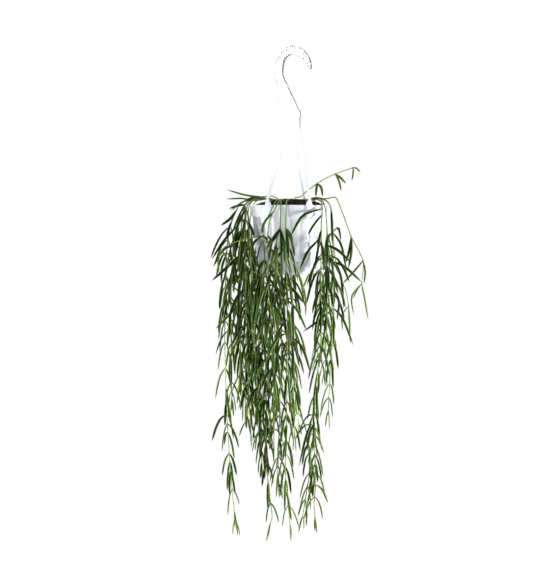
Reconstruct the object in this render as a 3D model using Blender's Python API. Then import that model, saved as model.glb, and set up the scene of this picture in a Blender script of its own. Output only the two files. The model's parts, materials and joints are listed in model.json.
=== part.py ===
"""A trailing wax plant in a white plastic hanging pot, clipped to a moulded hanger.

Metres, +Z up. The origin is where the hook bears on what holds it, at the top of its inner curve, and
the pot's axis hangs straight under it. Front is -Y. Heights in the tables are in millimetres from the
plane of the pot's rim, because a grower measures from there.
"""

import math
import random

import bmesh
import bpy
import numpy as np
from mathutils import Matrix, Vector

MM = 0.001
HOOK_TO_RIM = 275.0

# The pot and its dish, in millimetres
RIM_RADIUS = 76.0
SKIRT_DEPTH = 21.0
WALL = 1.5
BODY_TOP_RADIUS = 71.5
BODY_FOOT_RADIUS = 62.0
SHOULDER_DEPTH = 104.6
FOOT_DEPTH = 126.2
FOOT_RADIUS = 53.3
FLUTE_COUNT = 24
FLUTE_DEPTH = 0.8
DRAIN_HOLES = 5
DRAIN_RADIUS = 4.0
DRAIN_CIRCLE = 34.0
DISH_RADIUS = 62.6
DISH_FLOOR_RADIUS = 53.8
DISH_DEPTH = 128.0
NOTCH_ANGLES = (12.0, 132.0, 252.0)
NOTCH_SIZE = (5.0, 6.0, 4.4)
CLEARANCE = 0.3
POT_SIDES = 48
DISH_SIDES = 36
MIX_SIDES = 32

# The hanger, in millimetres
PLATE = 6.5
HOOK_TURN = -30.0
EYE_LEFT = 15.0
EYE_RIGHT = 30.0
EYE_HEIGHT = 24.0
STRAP_WIDTH = 5.5
STRAP_THICKNESS = 2.0
CLIP_WIDTH = 12.0
CLIP_THICKNESS = 1.6
STRAP_TOP_HEIGHT = 154.0
STRAP_ANGLES = {"left": -32.0, "right": 25.5, "rear": 155.0}
STRAP_TOPS = {"left": -10.5, "right": 18.0, "rear": 5.5}

# The plant, in millimetres
SOIL_CROWN = 10.0
STEM_RADIUS = 0.95
NODE_RADIUS = 1.7
HOLE_RADIUS = 2.3
HOLE_DEPTH = 14.0
ROOT_DEPTH = HOLE_DEPTH - CLEARANCE
LEAF_LENGTH = (54.0, 74.0)
LEAF_HALF_WIDTH = 2.8
LEAF_THICKNESS = 2.4
LEAF_RADII = (1.2, LEAF_HALF_WIDTH, LEAF_HALF_WIDTH, 1.5)
LEAF_GAP = 0.5
LEAF_ROLL = 1.1
INTERNODE = (35.0, 54.0)
THREES = 0.05
STRAYS = 0.12
BEND_STEP = 16.0
STEM_SIDES = 3

WHITE_PLASTIC = ((0.86, 0.88, 0.89, 1.0), 0.32)
DARK_MIX = ((0.030, 0.022, 0.016, 1.0), 0.95)
LEAF_GREEN = ((0.055, 0.115, 0.022, 1.0), 0.42)

# Each stem's shoots, the stem itself first: how far one is bare, or None where only leaves of the next
# table grow on it, and its route. Route points are (right, back, up) in millimetres from the rim's centre.
STEMS = {
    "stem_front_1": [
        (118, [(-18, -40), (-24, -62, 9), (-28, -77, 5), (-38, -80, -15), (-49, -74, -45), (-47, -72, -97),
               (-49, -68, -173), (-46, -64, -265), (-44, -61, -386), (-42, -58, -508), (-33, -55, -589),
               (-36, -54, -608)]),
        (None, [(-49, -74, -55), (-73, -84, -59), (-98, -88, -65), (-116, -88, -73), (-128, -87, -84)]),
        (30, [(-47, -72, -97), (-54, -71, -125), (-58, -67, -190), (-57, -63, -280), (-55, -60, -360),
              (-53, -58, -440), (-53, -57, -486)]),
    ],
    "stem_front_2": [
        (122, [(-12, -44), (-16, -64, 10), (-18, -79, 5), (-18, -84, -18), (-19, -85, -43), (-18, -83, -110),
               (-17, -79, -180), (-16, -76, -258), (-19, -72, -381), (-22, -68, -500), (-21, -67, -522)]),
        (30, [(-19, -85, -40), (-26, -85, -66), (-29, -82, -120), (-29, -79, -200), (-28, -75, -300),
              (-29, -72, -400), (-30, -70, -446)]),
    ],
    "stem_front_3": [
        (116, [(-3, -47), (-6, -66, 11), (-8, -80, 6), (-9, -87, -18), (-9, -88, -43), (-8, -87, -110),
               (-6, -85, -180), (-6, -83, -258), (-6, -80, -381), (-8, -77, -500), (-3, -75, -560),
               (1, -74, -600)]),
        (None, [(-8, -88, -80), (2, -92, -98), (10, -94, -112), (18, -94, -130), (23, -92, -146)]),
        (30, [(-8, -87, -100), (0, -85, -128), (4, -82, -180), (5, -79, -260), (6, -76, -340),
              (9, -73, -426)]),
    ],
    "stem_front_4": [
        (150, [(-17, -50), (-20, -66, 9), (-23, -79, 3), (-29, -85, -9), (-37, -88, -25), (-41, -89, -48),
               (-41, -88, -101), (-40, -87, -152), (-35, -84, -210), (-32, -82, -258), (-30, -80, -330),
               (-31, -78, -380)]),
    ],
    "stem_left_1": [
        (112, [(-38, 11), (-58, 13, 15), (-75, 14, 12), (-93, 15, 3), (-102, 14, -12), (-111, 13, -33),
               (-117, 12, -59), (-121, 10, -98), (-123, 9, -148), (-125, 7, -272), (-122, 6, -400),
               (-119, 5, -465), (-115, 5, -537), (-108, 5, -613), (-107, 5, -628)]),
    ],
    "stem_left_2": [
        (88, [(-38, 4), (-57, 4, 13), (-73, 3, 9), (-85, 1, 0), (-93, -3, -15), (-99, -7, -38),
              (-104, -10, -66), (-108, -13, -107), (-111, -15, -161), (-112, -17, -300), (-111, -18, -372)]),
    ],
    "stem_left_3": [
        (60, [(-38, -3), (-60, -7, 14), (-76, -12, 9), (-85, -18, -5), (-90, -23, -35), (-93, -27, -85),
              (-94, -31, -150), (-93, -34, -220), (-92, -36, -300), (-87, -38, -345), (-81, -39, -398)]),
    ],
    "stem_left_4": [
        (64, [(-36, -9), (-57, -20, 9), (-73, -27, 6), (-81, -31, -8), (-84, -37, -40), (-83, -43, -90),
              (-82, -46, -150), (-81, -48, -220), (-79, -50, -300), (-76, -52, -370), (-74, -52, -420)]),
        (78, [(-84, -37, -40), (-78, -43, -70), (-73, -44, -120), (-71, -43, -200), (-70, -42, -290),
              (-69, -42, -352)]),
    ],
    "stem_left_5": [
        (134, [(-34, -14), (-54, -24, 12), (-70, -34, 7), (-77, -40, -10), (-77, -46, -40), (-73, -52, -80),
              (-70, -55, -130), (-68, -57, -200), (-65, -58, -258), (-63, -58, -330), (-61, -58, -372)]),
        (34, [(-72, -53, -90), (-64, -51, -120), (-60, -46, -180), (-58, -42, -290), (-58, -42, -380),
              (-58, -42, -448)]),
    ],
    "stem_left_6": [
        (116, [(-36, 18), (-56, 25, 14), (-75, 32, 9), (-87, 37, -6), (-93, 40, -40), (-97, 41, -110),
              (-98, 40, -200), (-98, 39, -290), (-97, 38, -352)]),
    ],
    "stem_left_7": [
        (100, [(-30, 26), (-48, 39, 11), (-64, 51, 7), (-73, 58, -12), (-78, 61, -50), (-79, 60, -120),
              (-78, 58, -220), (-77, 56, -330), (-76, 56, -402)]),
    ],
    "stem_rear_1": [
        (106, [(-22, 36), (-36, 60, 9), (-45, 74, 4), (-52, 82, -20), (-55, 83, -60), (-55, 81, -140),
              (-54, 78, -250), (-53, 75, -360), (-53, 74, -432)]),
    ],
    "stem_rear_2": [
        (110, [(-10, 41), (-17, 66, 9), (-22, 80, 4), (-25, 88, -22), (-27, 88, -60), (-27, 85, -150),
              (-26, 81, -260), (-25, 78, -350), (-25, 77, -402)]),
    ],
    "stem_rear_3": [
        (114, [(2, 43), (4, 68, 10), (5, 82, 4), (7, 89, -22), (8, 90, -60), (8, 86, -150), (10, 82, -260),
              (15, 79, -350), (20, 77, -420), (24, 76, -452)]),
    ],
    "stem_right_1": [
        (118, [(30, -34), (43, -48, 13), (53, -58, 12), (57, -64, -2), (56, -65, -30), (56, -65, -60),
               (56, -64, -110), (56, -62, -180), (57, -61, -258), (54, -60, -290), (49, -59, -345),
               (48, -58, -381), (46, -57, -420), (49, -56, -482), (50, -55, -536), (48, -54, -570),
               (50, -54, -598)]),
        (22, [(48, -58, -370), (41, -62, -405), (36, -63, -440), (38, -62, -500), (32, -61, -549),
              (26, -60, -592)]),
    ],
    "stem_right_2": [
        (170, [(40, -17), (55, -24, 13), (67, -31, 8), (74, -36, -2), (77, -38, -18), (79, -39, -50),
               (80, -39, -83), (82, -39, -139), (83, -38, -192), (80, -36, -263), (78, -36, -320),
               (75, -35, -392)]),
    ],
    "stem_right_3": [
        (100, [(36, -28), (48, -39, 13), (58, -48, 8), (63, -54, -4), (65, -56, -20), (67, -57, -49),
               (68, -57, -100), (69, -56, -174), (69, -55, -236)]),
    ],
    "stem_right_4": [
        (None, [(46, -4), (58, -6, 11), (72, -8, 12), (86, -9, 14), (92, -10, 4), (101, -10, -18),
                (110, -10, -42), (117, -10, -60), (129, -10, -82), (140, -10, -105), (140, -10, -127),
                (138, -10, -149)]),
    ],
    "stem_right_5": [
        (None, [(42, 9), (61, 18, 11), (75, 23, 5), (82, 24, -14), (85, 24, -41), (87, 22, -77),
                (91, 16, -110), (99, 8, -138), (109, 2, -163), (114, -2, -188), (116, -3, -203)]),
    ],
    "stem_right_6": [
        (112, [(34, 24), (47, 35, 12), (59, 45, 9), (70, 51, -2), (74, 53, -22), (78, 54, -69),
              (78, 53, -150), (77, 51, -260), (76, 50, -332)]),
    ],
    "stem_right_7": [
        (116, [(26, 34), (42, 52, 10), (55, 63, 5), (62, 69, -18), (65, 70, -70), (64, 68, -160),
              (62, 65, -250), (61, 64, -302)]),
    ],
    "sprig_upright": [
        (None, [(10, -20), (21, -22, 16), (32, -22, 26), (49, -21, 38), (63, -20, 47), (84, -18, 57),
                (103, -15, 64), (118, -13, 69)]),
    ],
    "sprig_left": [
        (None, [(-24, -9), (-38, -7, 17), (-52, -13, 15), (-65, -16, 13), (-74, -18, 10)]),
    ],
}

# Leaves that show singly against the pot or the background: foot, middle and tip, in the same measure
SHOWN_LEAVES = {
    "stem_front_1": [
        [(-50, -77, -55), (-67, -84, -68), (-70, -82, -93)],
        [(-50, -77, -55), (-44, -82, -60), (-38, -83, -72)],
        [(-50, -74, -98), (-57, -80, -113), (-61, -78, -137)],
        [(-50, -74, -98), (-38, -80, -115), (-28, -78, -137)],
        [(-125, -87, -80), (-130, -88, -98), (-129, -84, -122)],
        [(-125, -87, -80), (-116, -88, -92), (-111, -86, -112)],
    ],
    "stem_front_2": [
        [(-20, -85, -41), (-34, -92, -64), (-40, -88, -101)],
        [(-20, -85, -41), (-17, -93, -65), (-17, -90, -94)],
        [(-20, -85, -41), (-28, -95, -57), (-42, -94, -74)],
        [(-20, -85, -41), (-12, -96, -70), (-11, -94, -103)],
        [(-19, -84, -84), (-24, -92, -92), (-31, -92, -104)],
        [(-18, -83, -105), (-25, -91, -115), (-32, -90, -130)],
    ],
    "stem_front_3": [
        [(-11, -88, -41), (-6, -96, -65), (-4, -92, -94)],
        [(-11, -88, -41), (1, -94, -62), (7, -89, -91)],
        [(-11, -88, -41), (0, -98, -54), (3, -97, -76)],
        [(-9, -88, -62), (3, -98, -88), (5, -96, -119)],
        [(23, -92, -146), (27, -94, -169), (27, -88, -199)],
        [(23, -92, -146), (27, -95, -135), (32, -94, -122)],
        [(10, -94, -112), (18, -98, -138), (24, -96, -168)],
        [(-7, -84, -140), (8, -93, -155), (23, -93, -174)],
        [(-7, -84, -170), (13, -90, -190), (29, -86, -226)],
    ],
    "stem_front_4": [
        [(-32, -85, -12), (-47, -90, -30), (-53, -86, -52)],
        [(-41, -90, -55), (-36, -95, -62), (-44, -95, -78)],
    ],
    "stem_left_1": [
        [(-101, 14, -10), (-114, 10, -27), (-131, 8, -39)],
        [(-110, 13, -31), (-116, 6, -46), (-121, 4, -65)],
        [(-121, 10, -94), (-129, 6, -117), (-131, 6, -150)],
    ],
    "stem_left_2": [
        [(-99, -7, -40), (-125, -14, -68), (-147, -10, -102)],
        [(-85, 1, 0), (-97, -6, -1), (-114, -8, -7)],
    ],
    "stem_left_3": [
        [(-93, -25, -93), (-119, -34, -117), (-146, -30, -141)],
        [(-94, -32, -182), (-114, -40, -205), (-139, -38, -231)],
    ],
    "stem_left_5": [
        [(-80, -42, -31), (-71, -50, -43), (-65, -52, -60)],
    ],
    "stem_right_1": [
        [(55, -64, -7), (21, -84, -19), (0, -92, -55)],
        [(55, -65, -18), (43, -76, -33), (31, -78, -53)],
        [(55, -65, -58), (31, -78, -83), (17, -76, -116)],
        [(55, -65, -45), (51, -72, -63), (49, -74, -88)],
    ],
    "stem_right_2": [
        [(76, -37, -9), (77, -46, -38), (78, -46, -70)],
        [(79, -39, -51), (72, -46, -57), (69, -46, -76)],
        [(79, -39, -51), (95, -42, -74), (106, -38, -124)],
        [(81, -39, -105), (102, -42, -114), (133, -36, -142)],
        [(83, -38, -193), (56, -52, -212), (25, -50, -235)],
        [(83, -38, -193), (100, -42, -212), (120, -38, -262)],
        [(82, -39, -158), (92, -42, -180), (88, -42, -214)],
    ],
    "stem_right_3": [
        [(68, -57, -73), (87, -60, -82), (112, -54, -105)],
        [(68, -57, -132), (67, -66, -155), (66, -64, -184)],
    ],
    "stem_right_4": [
        [(117, -10, -60), (113, -14, -85), (107, -12, -109)],
        [(117, -10, -60), (117, -16, -88), (112, -14, -119)],
        [(140, -10, -105), (123, -14, -125), (102, -12, -149)],
        [(140, -10, -105), (144, -14, -126), (142, -14, -149)],
        [(138, -10, -149), (119, -14, -174), (124, -12, -209)],
        [(138, -10, -149), (145, -12, -182), (152, -10, -219)],
        [(138, -10, -149), (130, -6, -162), (123, -4, -178)],
    ],
    "stem_right_5": [
        [(86, 23, -52), (95, 16, -44), (100, 12, -69)],
        [(91, 16, -110), (101, 6, -142), (106, 4, -198)],
        [(115, -2, -193), (102, -6, -212), (104, -4, -241)],
        [(115, -2, -193), (117, -6, -230), (119, -4, -267)],
    ],
    "sprig_upright": [
        [(51, -21, 39), (49, -24, 29), (48, -24, 16)],
        [(51, -21, 39), (58, -24, 32), (61, -24, 16)],
        [(84, -18, 57), (91, -20, 45), (96, -18, 26)],
        [(84, -18, 57), (94, -14, 51), (105, -12, 40)],
        [(118, -13, 69), (118, -15, 59), (116, -14, 45)],
        [(118, -13, 69), (124, -13, 68), (132, -12, 61)],
    ],
    "sprig_left": [
        [(-52, -14, 13), (-82, -20, 18), (-117, -20, 28)],
        [(-52, -14, 13), (-70, -22, 14), (-92, -33, 3)],
        [(-74, -18, 10), (-92, -27, 12), (-118, -27, 11)],
        [(-74, -18, 10), (-91, -20, 4), (-110, -18, -11)],
    ],
}


def clear_scene():
    for thing in list(bpy.data.objects):
        bpy.data.objects.remove(thing)


def material(name, finish):
    """A plain Principled material from a colour and a roughness."""
    colour, roughness = finish
    made = bpy.data.materials.new(name)
    made.use_nodes = True
    shader = made.node_tree.nodes["Principled BSDF"]
    shader.inputs["Base Color"].default_value = colour
    shader.inputs["Roughness"].default_value = roughness
    shader.inputs["Metallic"].default_value = 0.0
    made.diffuse_color = colour
    return made


def at(point):
    """Millimetres from the rim's centre to the part's own frame, in metres."""
    return Vector((point[0] * MM, point[1] * MM, (point[2] - HOOK_TO_RIM) * MM))


def new_object(name, bm, finish=None):
    """Closes a bmesh into a named, smooth-shaded object."""
    bmesh.ops.recalc_face_normals(bm, faces=bm.faces)
    mesh = bpy.data.meshes.new(name)
    bm.to_mesh(mesh)
    bm.free()
    made = bpy.data.objects.new(name, mesh)
    bpy.context.collection.objects.link(made)
    mesh.shade_smooth()
    mesh.set_sharp_from_angle(angle=math.radians(32))
    if finish:
        mesh.materials.append(finish)
    return made


def loft(rings, start, end):
    """A bmesh skinned over rings of points, each end closed on one point."""
    bm = bmesh.new()
    rows = [[bm.verts.new(point) for point in ring] for ring in rings]
    for row, following in zip(rows, rows[1:]):
        for i in range(len(row)):
            j = (i + 1) % len(row)
            bm.faces.new((row[i], row[j], following[j], following[i]))
    for row, tip in ((rows[0], start), (rows[-1], end)):
        if tip is None:
            bm.faces.new(row)
            continue
        point = bm.verts.new(tip)
        for i in range(len(row)):
            bm.faces.new((row[i], row[(i + 1) % len(row)], point))
    return bm


def turned(name, profile, sides, finish, relief=None):
    """A lathe turned solid. The profile starts and ends on the axis. relief(angle, row) adds to a radius."""
    (_, first_height), *rows, (_, last_height) = profile
    rings = []
    for row, (radius, height) in enumerate(rows):
        ring = []
        for i in range(sides):
            angle = math.tau * i / sides
            out = radius + (relief(i, row) if relief else 0.0)
            ring.append(at((out * math.sin(angle), -out * math.cos(angle), height)))
        rings.append(ring)
    return new_object(name, loft(rings, at((0, 0, first_height)), at((0, 0, last_height))), finish)


def apply_boolean(target, operation, group, solver="EXACT"):
    """Applies one Boolean between the target and a collection, then removes the collection."""
    boolean = target.modifiers.new("Boolean", "BOOLEAN")
    boolean.operation = operation
    boolean.solver = solver
    boolean.operand_type = "COLLECTION"
    boolean.collection = group
    graph = bpy.context.evaluated_depsgraph_get()
    joined = bpy.data.meshes.new_from_object(target.evaluated_get(graph))
    joined.name = target.name
    target.modifiers.remove(boolean)
    target.data = joined
    for used in list(group.objects):
        bpy.data.objects.remove(used)
    bpy.data.collections.remove(group)


def gather(name, things):
    """Moves helper objects into a collection of their own, for one Boolean."""
    group = bpy.data.collections.new(name)
    bpy.context.scene.collection.children.link(group)
    for thing in things:
        for home in list(thing.users_collection):
            home.objects.unlink(thing)
        group.objects.link(thing)
    return group


def upright_cylinder(centre, radius, low, high, sides):
    """A cutter along Z, in millimetres from the rim's centre."""
    bm = bmesh.new()
    bmesh.ops.create_cone(
        bm, cap_ends=True, segments=sides, radius1=radius * MM, radius2=radius * MM, depth=(high - low) * MM
    )
    bmesh.ops.translate(bm, vec=at((centre[0], centre[1], (low + high) / 2)), verts=bm.verts)
    return new_object("cutter", bm)


def block(size, frame):
    """A box of the given size in millimetres, placed by a matrix."""
    bm = bmesh.new()
    bmesh.ops.create_cube(bm, size=1.0)
    bmesh.ops.scale(bm, vec=Vector(size) * MM, verts=bm.verts)
    bmesh.ops.transform(bm, matrix=frame, verts=bm.verts)
    return new_object("block", bm)


def facing(angle, radius, height):
    """A frame on the rim's circle: X along the rim, Y outwards, Z up."""
    turn = math.radians(angle)
    spin = Matrix.Rotation(turn + math.pi, 4, "Z")
    return Matrix.Translation(at((radius * math.sin(turn), -radius * math.cos(turn), height))) @ spin


def make_pot(finish):
    """The moulded shell: floor, inner wall, rolled rim, skirt, fluted wall, shoulder and base."""
    profile = [
        (0, -FOOT_DEPTH + WALL),
        (FOOT_RADIUS - 0.8, -FOOT_DEPTH + WALL),
        (BODY_FOOT_RADIUS - 5.0, -SHOULDER_DEPTH + 0.6),
        (BODY_FOOT_RADIUS - 1.4, -SHOULDER_DEPTH + 2.2),
        (BODY_TOP_RADIUS - WALL, -22.0),
        (BODY_TOP_RADIUS + 1.0, 0.0),
        (RIM_RADIUS - 1.0, 0.0),
        (RIM_RADIUS, -1.2),
        (RIM_RADIUS, -SKIRT_DEPTH),
        (RIM_RADIUS - 1.3, -SKIRT_DEPTH),
        (RIM_RADIUS - 1.6, -2.4),
        (BODY_TOP_RADIUS, -22.0),
        (BODY_FOOT_RADIUS, -SHOULDER_DEPTH + 1.2),
        (BODY_FOOT_RADIUS - 0.6, -SHOULDER_DEPTH),
        (BODY_FOOT_RADIUS - 3.4, -SHOULDER_DEPTH),
        (FOOT_RADIUS + 3.1, -122.0),
        (FOOT_RADIUS, -FOOT_DEPTH),
        (0, -FOOT_DEPTH),
    ]
    fluted_rows = (9, 10)

    def flute(i, row):
        """A shallow crease at every second corner of the outer wall."""
        return -FLUTE_DEPTH if row in fluted_rows and i % (POT_SIDES // FLUTE_COUNT) == 0 else 0.0

    pot = turned("pot", profile, POT_SIDES, finish, flute)
    drills = []
    for i in range(DRAIN_HOLES):
        angle = math.tau * (i + 0.52) / DRAIN_HOLES
        centre = (DRAIN_CIRCLE * math.sin(angle), -DRAIN_CIRCLE * math.cos(angle))
        drills.append(upright_cylinder(centre, DRAIN_RADIUS, -FOOT_DEPTH - 3, -FOOT_DEPTH + 5, 12))
    apply_boolean(pot, "DIFFERENCE", gather("drain_holes", drills))
    return pot


def make_dish(finish):
    """The drip dish, its edge just under the pot's shoulder, with a notch where each catch lets go."""
    edge = -SHOULDER_DEPTH - CLEARANCE
    profile = [
        (0, -FOOT_DEPTH - CLEARANCE),
        (DISH_FLOOR_RADIUS + 1.0, -FOOT_DEPTH - CLEARANCE),
        (DISH_RADIUS - 5.2, -124.2),
        (DISH_RADIUS - 3.6, -119.5),
        (DISH_RADIUS - 1.4, edge - 1.5),
        (DISH_RADIUS - 1.1, edge),
        (DISH_RADIUS - 0.2, edge),
        (DISH_RADIUS, edge - 1.8),
        (DISH_RADIUS - 2.1, -120.0),
        (DISH_RADIUS - 4.0, -125.0),
        (DISH_RADIUS - 6.2, -127.3),
        (DISH_FLOOR_RADIUS, -DISH_DEPTH),
        (0, -DISH_DEPTH),
    ]
    dish = turned("drip_dish", profile, DISH_SIDES, finish)
    notches = [block(NOTCH_SIZE, facing(angle, DISH_RADIUS, -SHOULDER_DEPTH)) for angle in NOTCH_ANGLES]
    apply_boolean(dish, "DIFFERENCE", gather("notches", notches))
    return dish


def smooth_curve(points, count):
    """A Catmull-Rom curve through the points, with this many samples a span."""
    points = [Vector(point) for point in points]
    padded = [2 * points[0] - points[1], *points, 2 * points[-1] - points[-2]]
    samples = []
    for a, b, c, d in zip(padded, padded[1:], padded[2:], padded[3:]):
        for k in range(count):
            t = k / count
            squared, cubed = (2 * a - 5 * b + 4 * c - d) * t**2, (3 * b - a - 3 * c + d) * t**3
            samples.append(0.5 * (2 * b + (c - a) * t + squared + cubed))
    samples.append(points[-1])
    return samples


def hook_outline():
    """The flat hook and web, seen square on, as (right, up) in millimetres from the rim's centre."""
    outer = [(-10, 140), (-14, 168), (-17, 190), (-24, 217), (-31, 246), (-27, 266), (-11, 285), (9, 291),
             (28, 281), (40, 265), (44, 250)]
    tip = [(42, 246), (34, 249)]
    eye = []
    for k in range(9):
        angle = math.radians(8 + 172 * k / 8)
        wide = EYE_RIGHT if k < 4 else EYE_LEFT
        eye.append((wide * math.cos(angle), HOOK_TO_RIM - EYE_HEIGHT * (1 - math.sin(angle))))
    shank = [(-15, 240), (-6, 222), (15, 182), (23, 167), (21, 158), (21, 140), (5, 136)]
    rounded = smooth_curve([(x, z, 0) for x, z in outer], 3)
    return [(p.x, p.y) for p in rounded] + tip + eye + shank


def strap_top(side):
    """Where a strap leaves the web, which is turned with the hook."""
    turn = math.radians(HOOK_TURN)
    return Vector((STRAP_TOPS[side] * math.cos(turn), STRAP_TOPS[side] * math.sin(turn), STRAP_TOP_HEIGHT))


def strap_solid(points, across, width, thickness):
    """A flat strap along points, each with its own direction across the width."""
    rings = []
    for i, point in enumerate(points):
        ahead = points[min(i + 1, len(points) - 1)] - points[max(i - 1, 0)]
        side = across[i].normalized()
        face = ahead.normalized().cross(side).normalized()
        corners = ((-1, -1), (1, -1), (1, 1), (-1, 1))
        rings.append(
            [at(point + side * (u * width[i] / 2) + face * (v * thickness / 2)) for u, v in corners]
        )
    return new_object("strap", loft(rings, None, None))


def make_hanger(finish):
    """One moulded piece: a flat hook and web, three straps, and a clip under the skirt at each foot."""
    bm = bmesh.new()
    front = [bm.verts.new(at((x, -PLATE / 2, z))) for x, z in hook_outline()]
    face = bm.faces.new(front)
    grown = bmesh.ops.extrude_face_region(bm, geom=[face])
    moved = [v for v in grown["geom"] if isinstance(v, bmesh.types.BMVert)]
    bmesh.ops.translate(bm, vec=Vector((0, PLATE * MM, 0)), verts=moved)
    hook_turn = Matrix.Rotation(math.radians(HOOK_TURN), 3, "Z")
    bmesh.ops.rotate(bm, cent=(0, 0, 0), matrix=hook_turn, verts=bm.verts)
    hanger = new_object("hanger", bm, finish)
    parts = []
    outside = RIM_RADIUS + CLEARANCE
    for side, angle in STRAP_ANGLES.items():
        turn = math.radians(angle)
        out = Vector((math.sin(turn), -math.cos(turn), 0))
        along = Vector((math.cos(turn), math.sin(turn), 0))
        middle = outside + CLIP_THICKNESS / 2
        top = strap_top(side)
        foot = out * middle + Vector((0, 0, 12))
        lean = foot - top
        points = [
            top,
            top + Vector((lean.x * 0.06, lean.y * 0.05, -22)),
            top + Vector((lean.x * 0.30, lean.y * 0.28, -56)),
            top + Vector((lean.x * 0.66, lean.y * 0.64, -100)),
            foot,
            out * middle + Vector((0, 0, 2)),
            out * middle + Vector((0, 0, -SKIRT_DEPTH - 2.4)),
        ]
        widths = [STRAP_WIDTH] * 4 + [STRAP_WIDTH + 0.5, CLIP_WIDTH, CLIP_WIDTH]
        start = hook_turn @ Vector((math.copysign(1, along.x), 0, 0))
        across = [start.lerp(along, min(1.0, i / 3)) for i in range(len(points))]
        parts.append(strap_solid(points, across, widths, STRAP_THICKNESS))
        ledge = (CLIP_WIDTH - 1, 5.0, 1.4)
        parts.append(block(ledge, facing(angle, outside - 1.2, -SKIRT_DEPTH - CLEARANCE - ledge[2] / 2)))
    apply_boolean(hanger, "UNION", gather("straps", parts))
    return hanger


def soil_height(radius):
    """The mix's mounded surface over a radius, from the rim's plane."""
    return SOIL_CROWN - 14.0 * (radius / 70.0) ** 2.6


def make_soil(finish):
    """The plug of potting mix: it fills the pot, mounds over the rim, and has a hole for each stem."""
    profile = [
        (0, -FOOT_DEPTH + WALL + CLEARANCE),
        (FOOT_RADIUS - 1.2, -FOOT_DEPTH + WALL + CLEARANCE),
        (BODY_FOOT_RADIUS - 5.5, -SHOULDER_DEPTH + 1.0),
        (BODY_FOOT_RADIUS - 2.0, -SHOULDER_DEPTH + 2.9),
        (BODY_TOP_RADIUS - WALL - 0.5, -22.0),
        (BODY_TOP_RADIUS - 0.4, -6.0),
        (66.0, soil_height(66.0)),
        (54.0, soil_height(54.0)),
        (40.0, soil_height(40.0)),
        (22.0, soil_height(22.0)),
        (0, soil_height(0.0)),
    ]
    lumps = random.Random(41)
    crumbly_rows = (5, 6, 7, 8)

    def lump(_, row):
        """Small steps in and out, so that the mix looks loose on top."""
        return lumps.uniform(-1.6, 1.2) if row in crumbly_rows else 0.0

    soil = turned("potting_mix", profile, MIX_SIDES, finish, lump)
    holes = []
    for (_, route), *_ in STEMS.values():
        x, y = route[0]
        top = soil_height(math.hypot(x, y))
        holes.append(upright_cylinder((x, y), HOLE_RADIUS, top - HOLE_DEPTH, top + 9, 6))
    apply_boolean(soil, "DIFFERENCE", gather("holes", holes))
    return soil


class Crowd:
    """The stems and leaves already placed, as thick line segments that a new leaf has to miss."""

    def __init__(self):
        self.starts = np.zeros((0, 3))
        self.ends = np.zeros((0, 3))
        self.radii = np.zeros(0)
        self.owners = np.zeros(0, int)
        self.joints = np.zeros(0, int)

    def add(self, points, radii, owner, joint):
        """Adds a chain of segments. joint is -1 for a stem, or its leaf's joint number."""
        points = np.array([tuple(point) for point in points])
        count = len(points) - 1
        self.starts = np.vstack([self.starts, points[:-1]])
        self.ends = np.vstack([self.ends, points[1:]])
        self.radii = np.append(self.radii, radii)
        self.owners = np.append(self.owners, [owner] * count)
        self.joints = np.append(self.joints, [joint] * count)

    def distances(self, start, end):
        """How near one segment comes to each segment in the crowd."""
        start, end = np.array(start), np.array(end)
        u, v, w = end - start, self.ends - self.starts, start - self.starts
        a, b, c = u @ u, v @ u, np.einsum("ij,ij->i", v, v)
        d, e = w @ u, np.einsum("ij,ij->i", v, w)
        bottom = np.maximum(a * c - b * b, 1e-9)
        s = np.clip((b * e - c * d) / bottom, 0, 1)
        t = np.clip((b * s + e) / np.maximum(c, 1e-9), 0, 1)
        s = np.clip((b * t - d) / max(a, 1e-9), 0, 1)
        gap = w + s[:, None] * u - t[:, None] * v
        return np.sqrt(np.einsum("ij,ij->i", gap, gap))

    def takes(self, points, radii, owner, joint):
        """Whether a leaf there keeps clear of every other leaf and stem."""
        for start, end, radius in zip(points, points[1:], radii):
            room = self.distances(start, end) - self.radii - radius
            mine = self.owners == owner
            near_joint = mine & ((self.joints == joint) | (self.joints == -1))
            if (room[~mine] < LEAF_GAP).any() or (room[mine & ~near_joint] < 0.1).any():
                return False
        return True


def clear_of_pot(point, radius):
    """Whether a round thing at a point keeps off the pot, the dish and the mix."""
    out, height = math.hypot(point[0], point[1]), point[2]
    reach = radius + LEAF_GAP
    if height > 1.0:
        over_rim = 66.0 < out < RIM_RADIUS + 1.0
        return height - reach > (1.0 if over_rim else soil_height(min(out, 72.0)) + 1.0)
    if height < -DISH_DEPTH - reach:
        return True
    if height < -SKIRT_DEPTH - 4.0:
        share = (-height - SKIRT_DEPTH) / (DISH_DEPTH - SKIRT_DEPTH)
        return out - reach > BODY_TOP_RADIUS + (DISH_RADIUS - BODY_TOP_RADIUS) * min(1.0, share) + 2.5
    return out - reach > RIM_RADIUS


def strap_lines():
    """The three straps and their clips, as thick lines for the leaves to miss."""
    lines = []
    for side, angle in STRAP_ANGLES.items():
        turn = math.radians(angle)
        for spread in (-5.0, 0.0, 5.0):
            out = Vector((math.sin(turn), -math.cos(turn), 0)) * (RIM_RADIUS + 1.1)
            out += Vector((math.cos(turn), math.sin(turn), 0)) * spread
            foot = out + Vector((0, 0, 4))
            lines.append([strap_top(side), foot, out - Vector((0, 0, 24))])
    return lines


def travel(route):
    """Distances along a sampled route."""
    run = [0.0]
    for a, b in zip(route, route[1:]):
        run.append(run[-1] + (b - a).length)
    return run


def along_route(route, run, distance):
    """The point and the direction at a distance along a sampled route."""
    distance = min(max(distance, 0.0), run[-1])
    k = 1
    while k < len(run) - 1 and run[k] < distance:
        k += 1
    step = (distance - run[k - 1]) / max(run[k] - run[k - 1], 1e-9)
    return route[k - 1].lerp(route[k], step), (route[k] - route[k - 1]).normalized()


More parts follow.
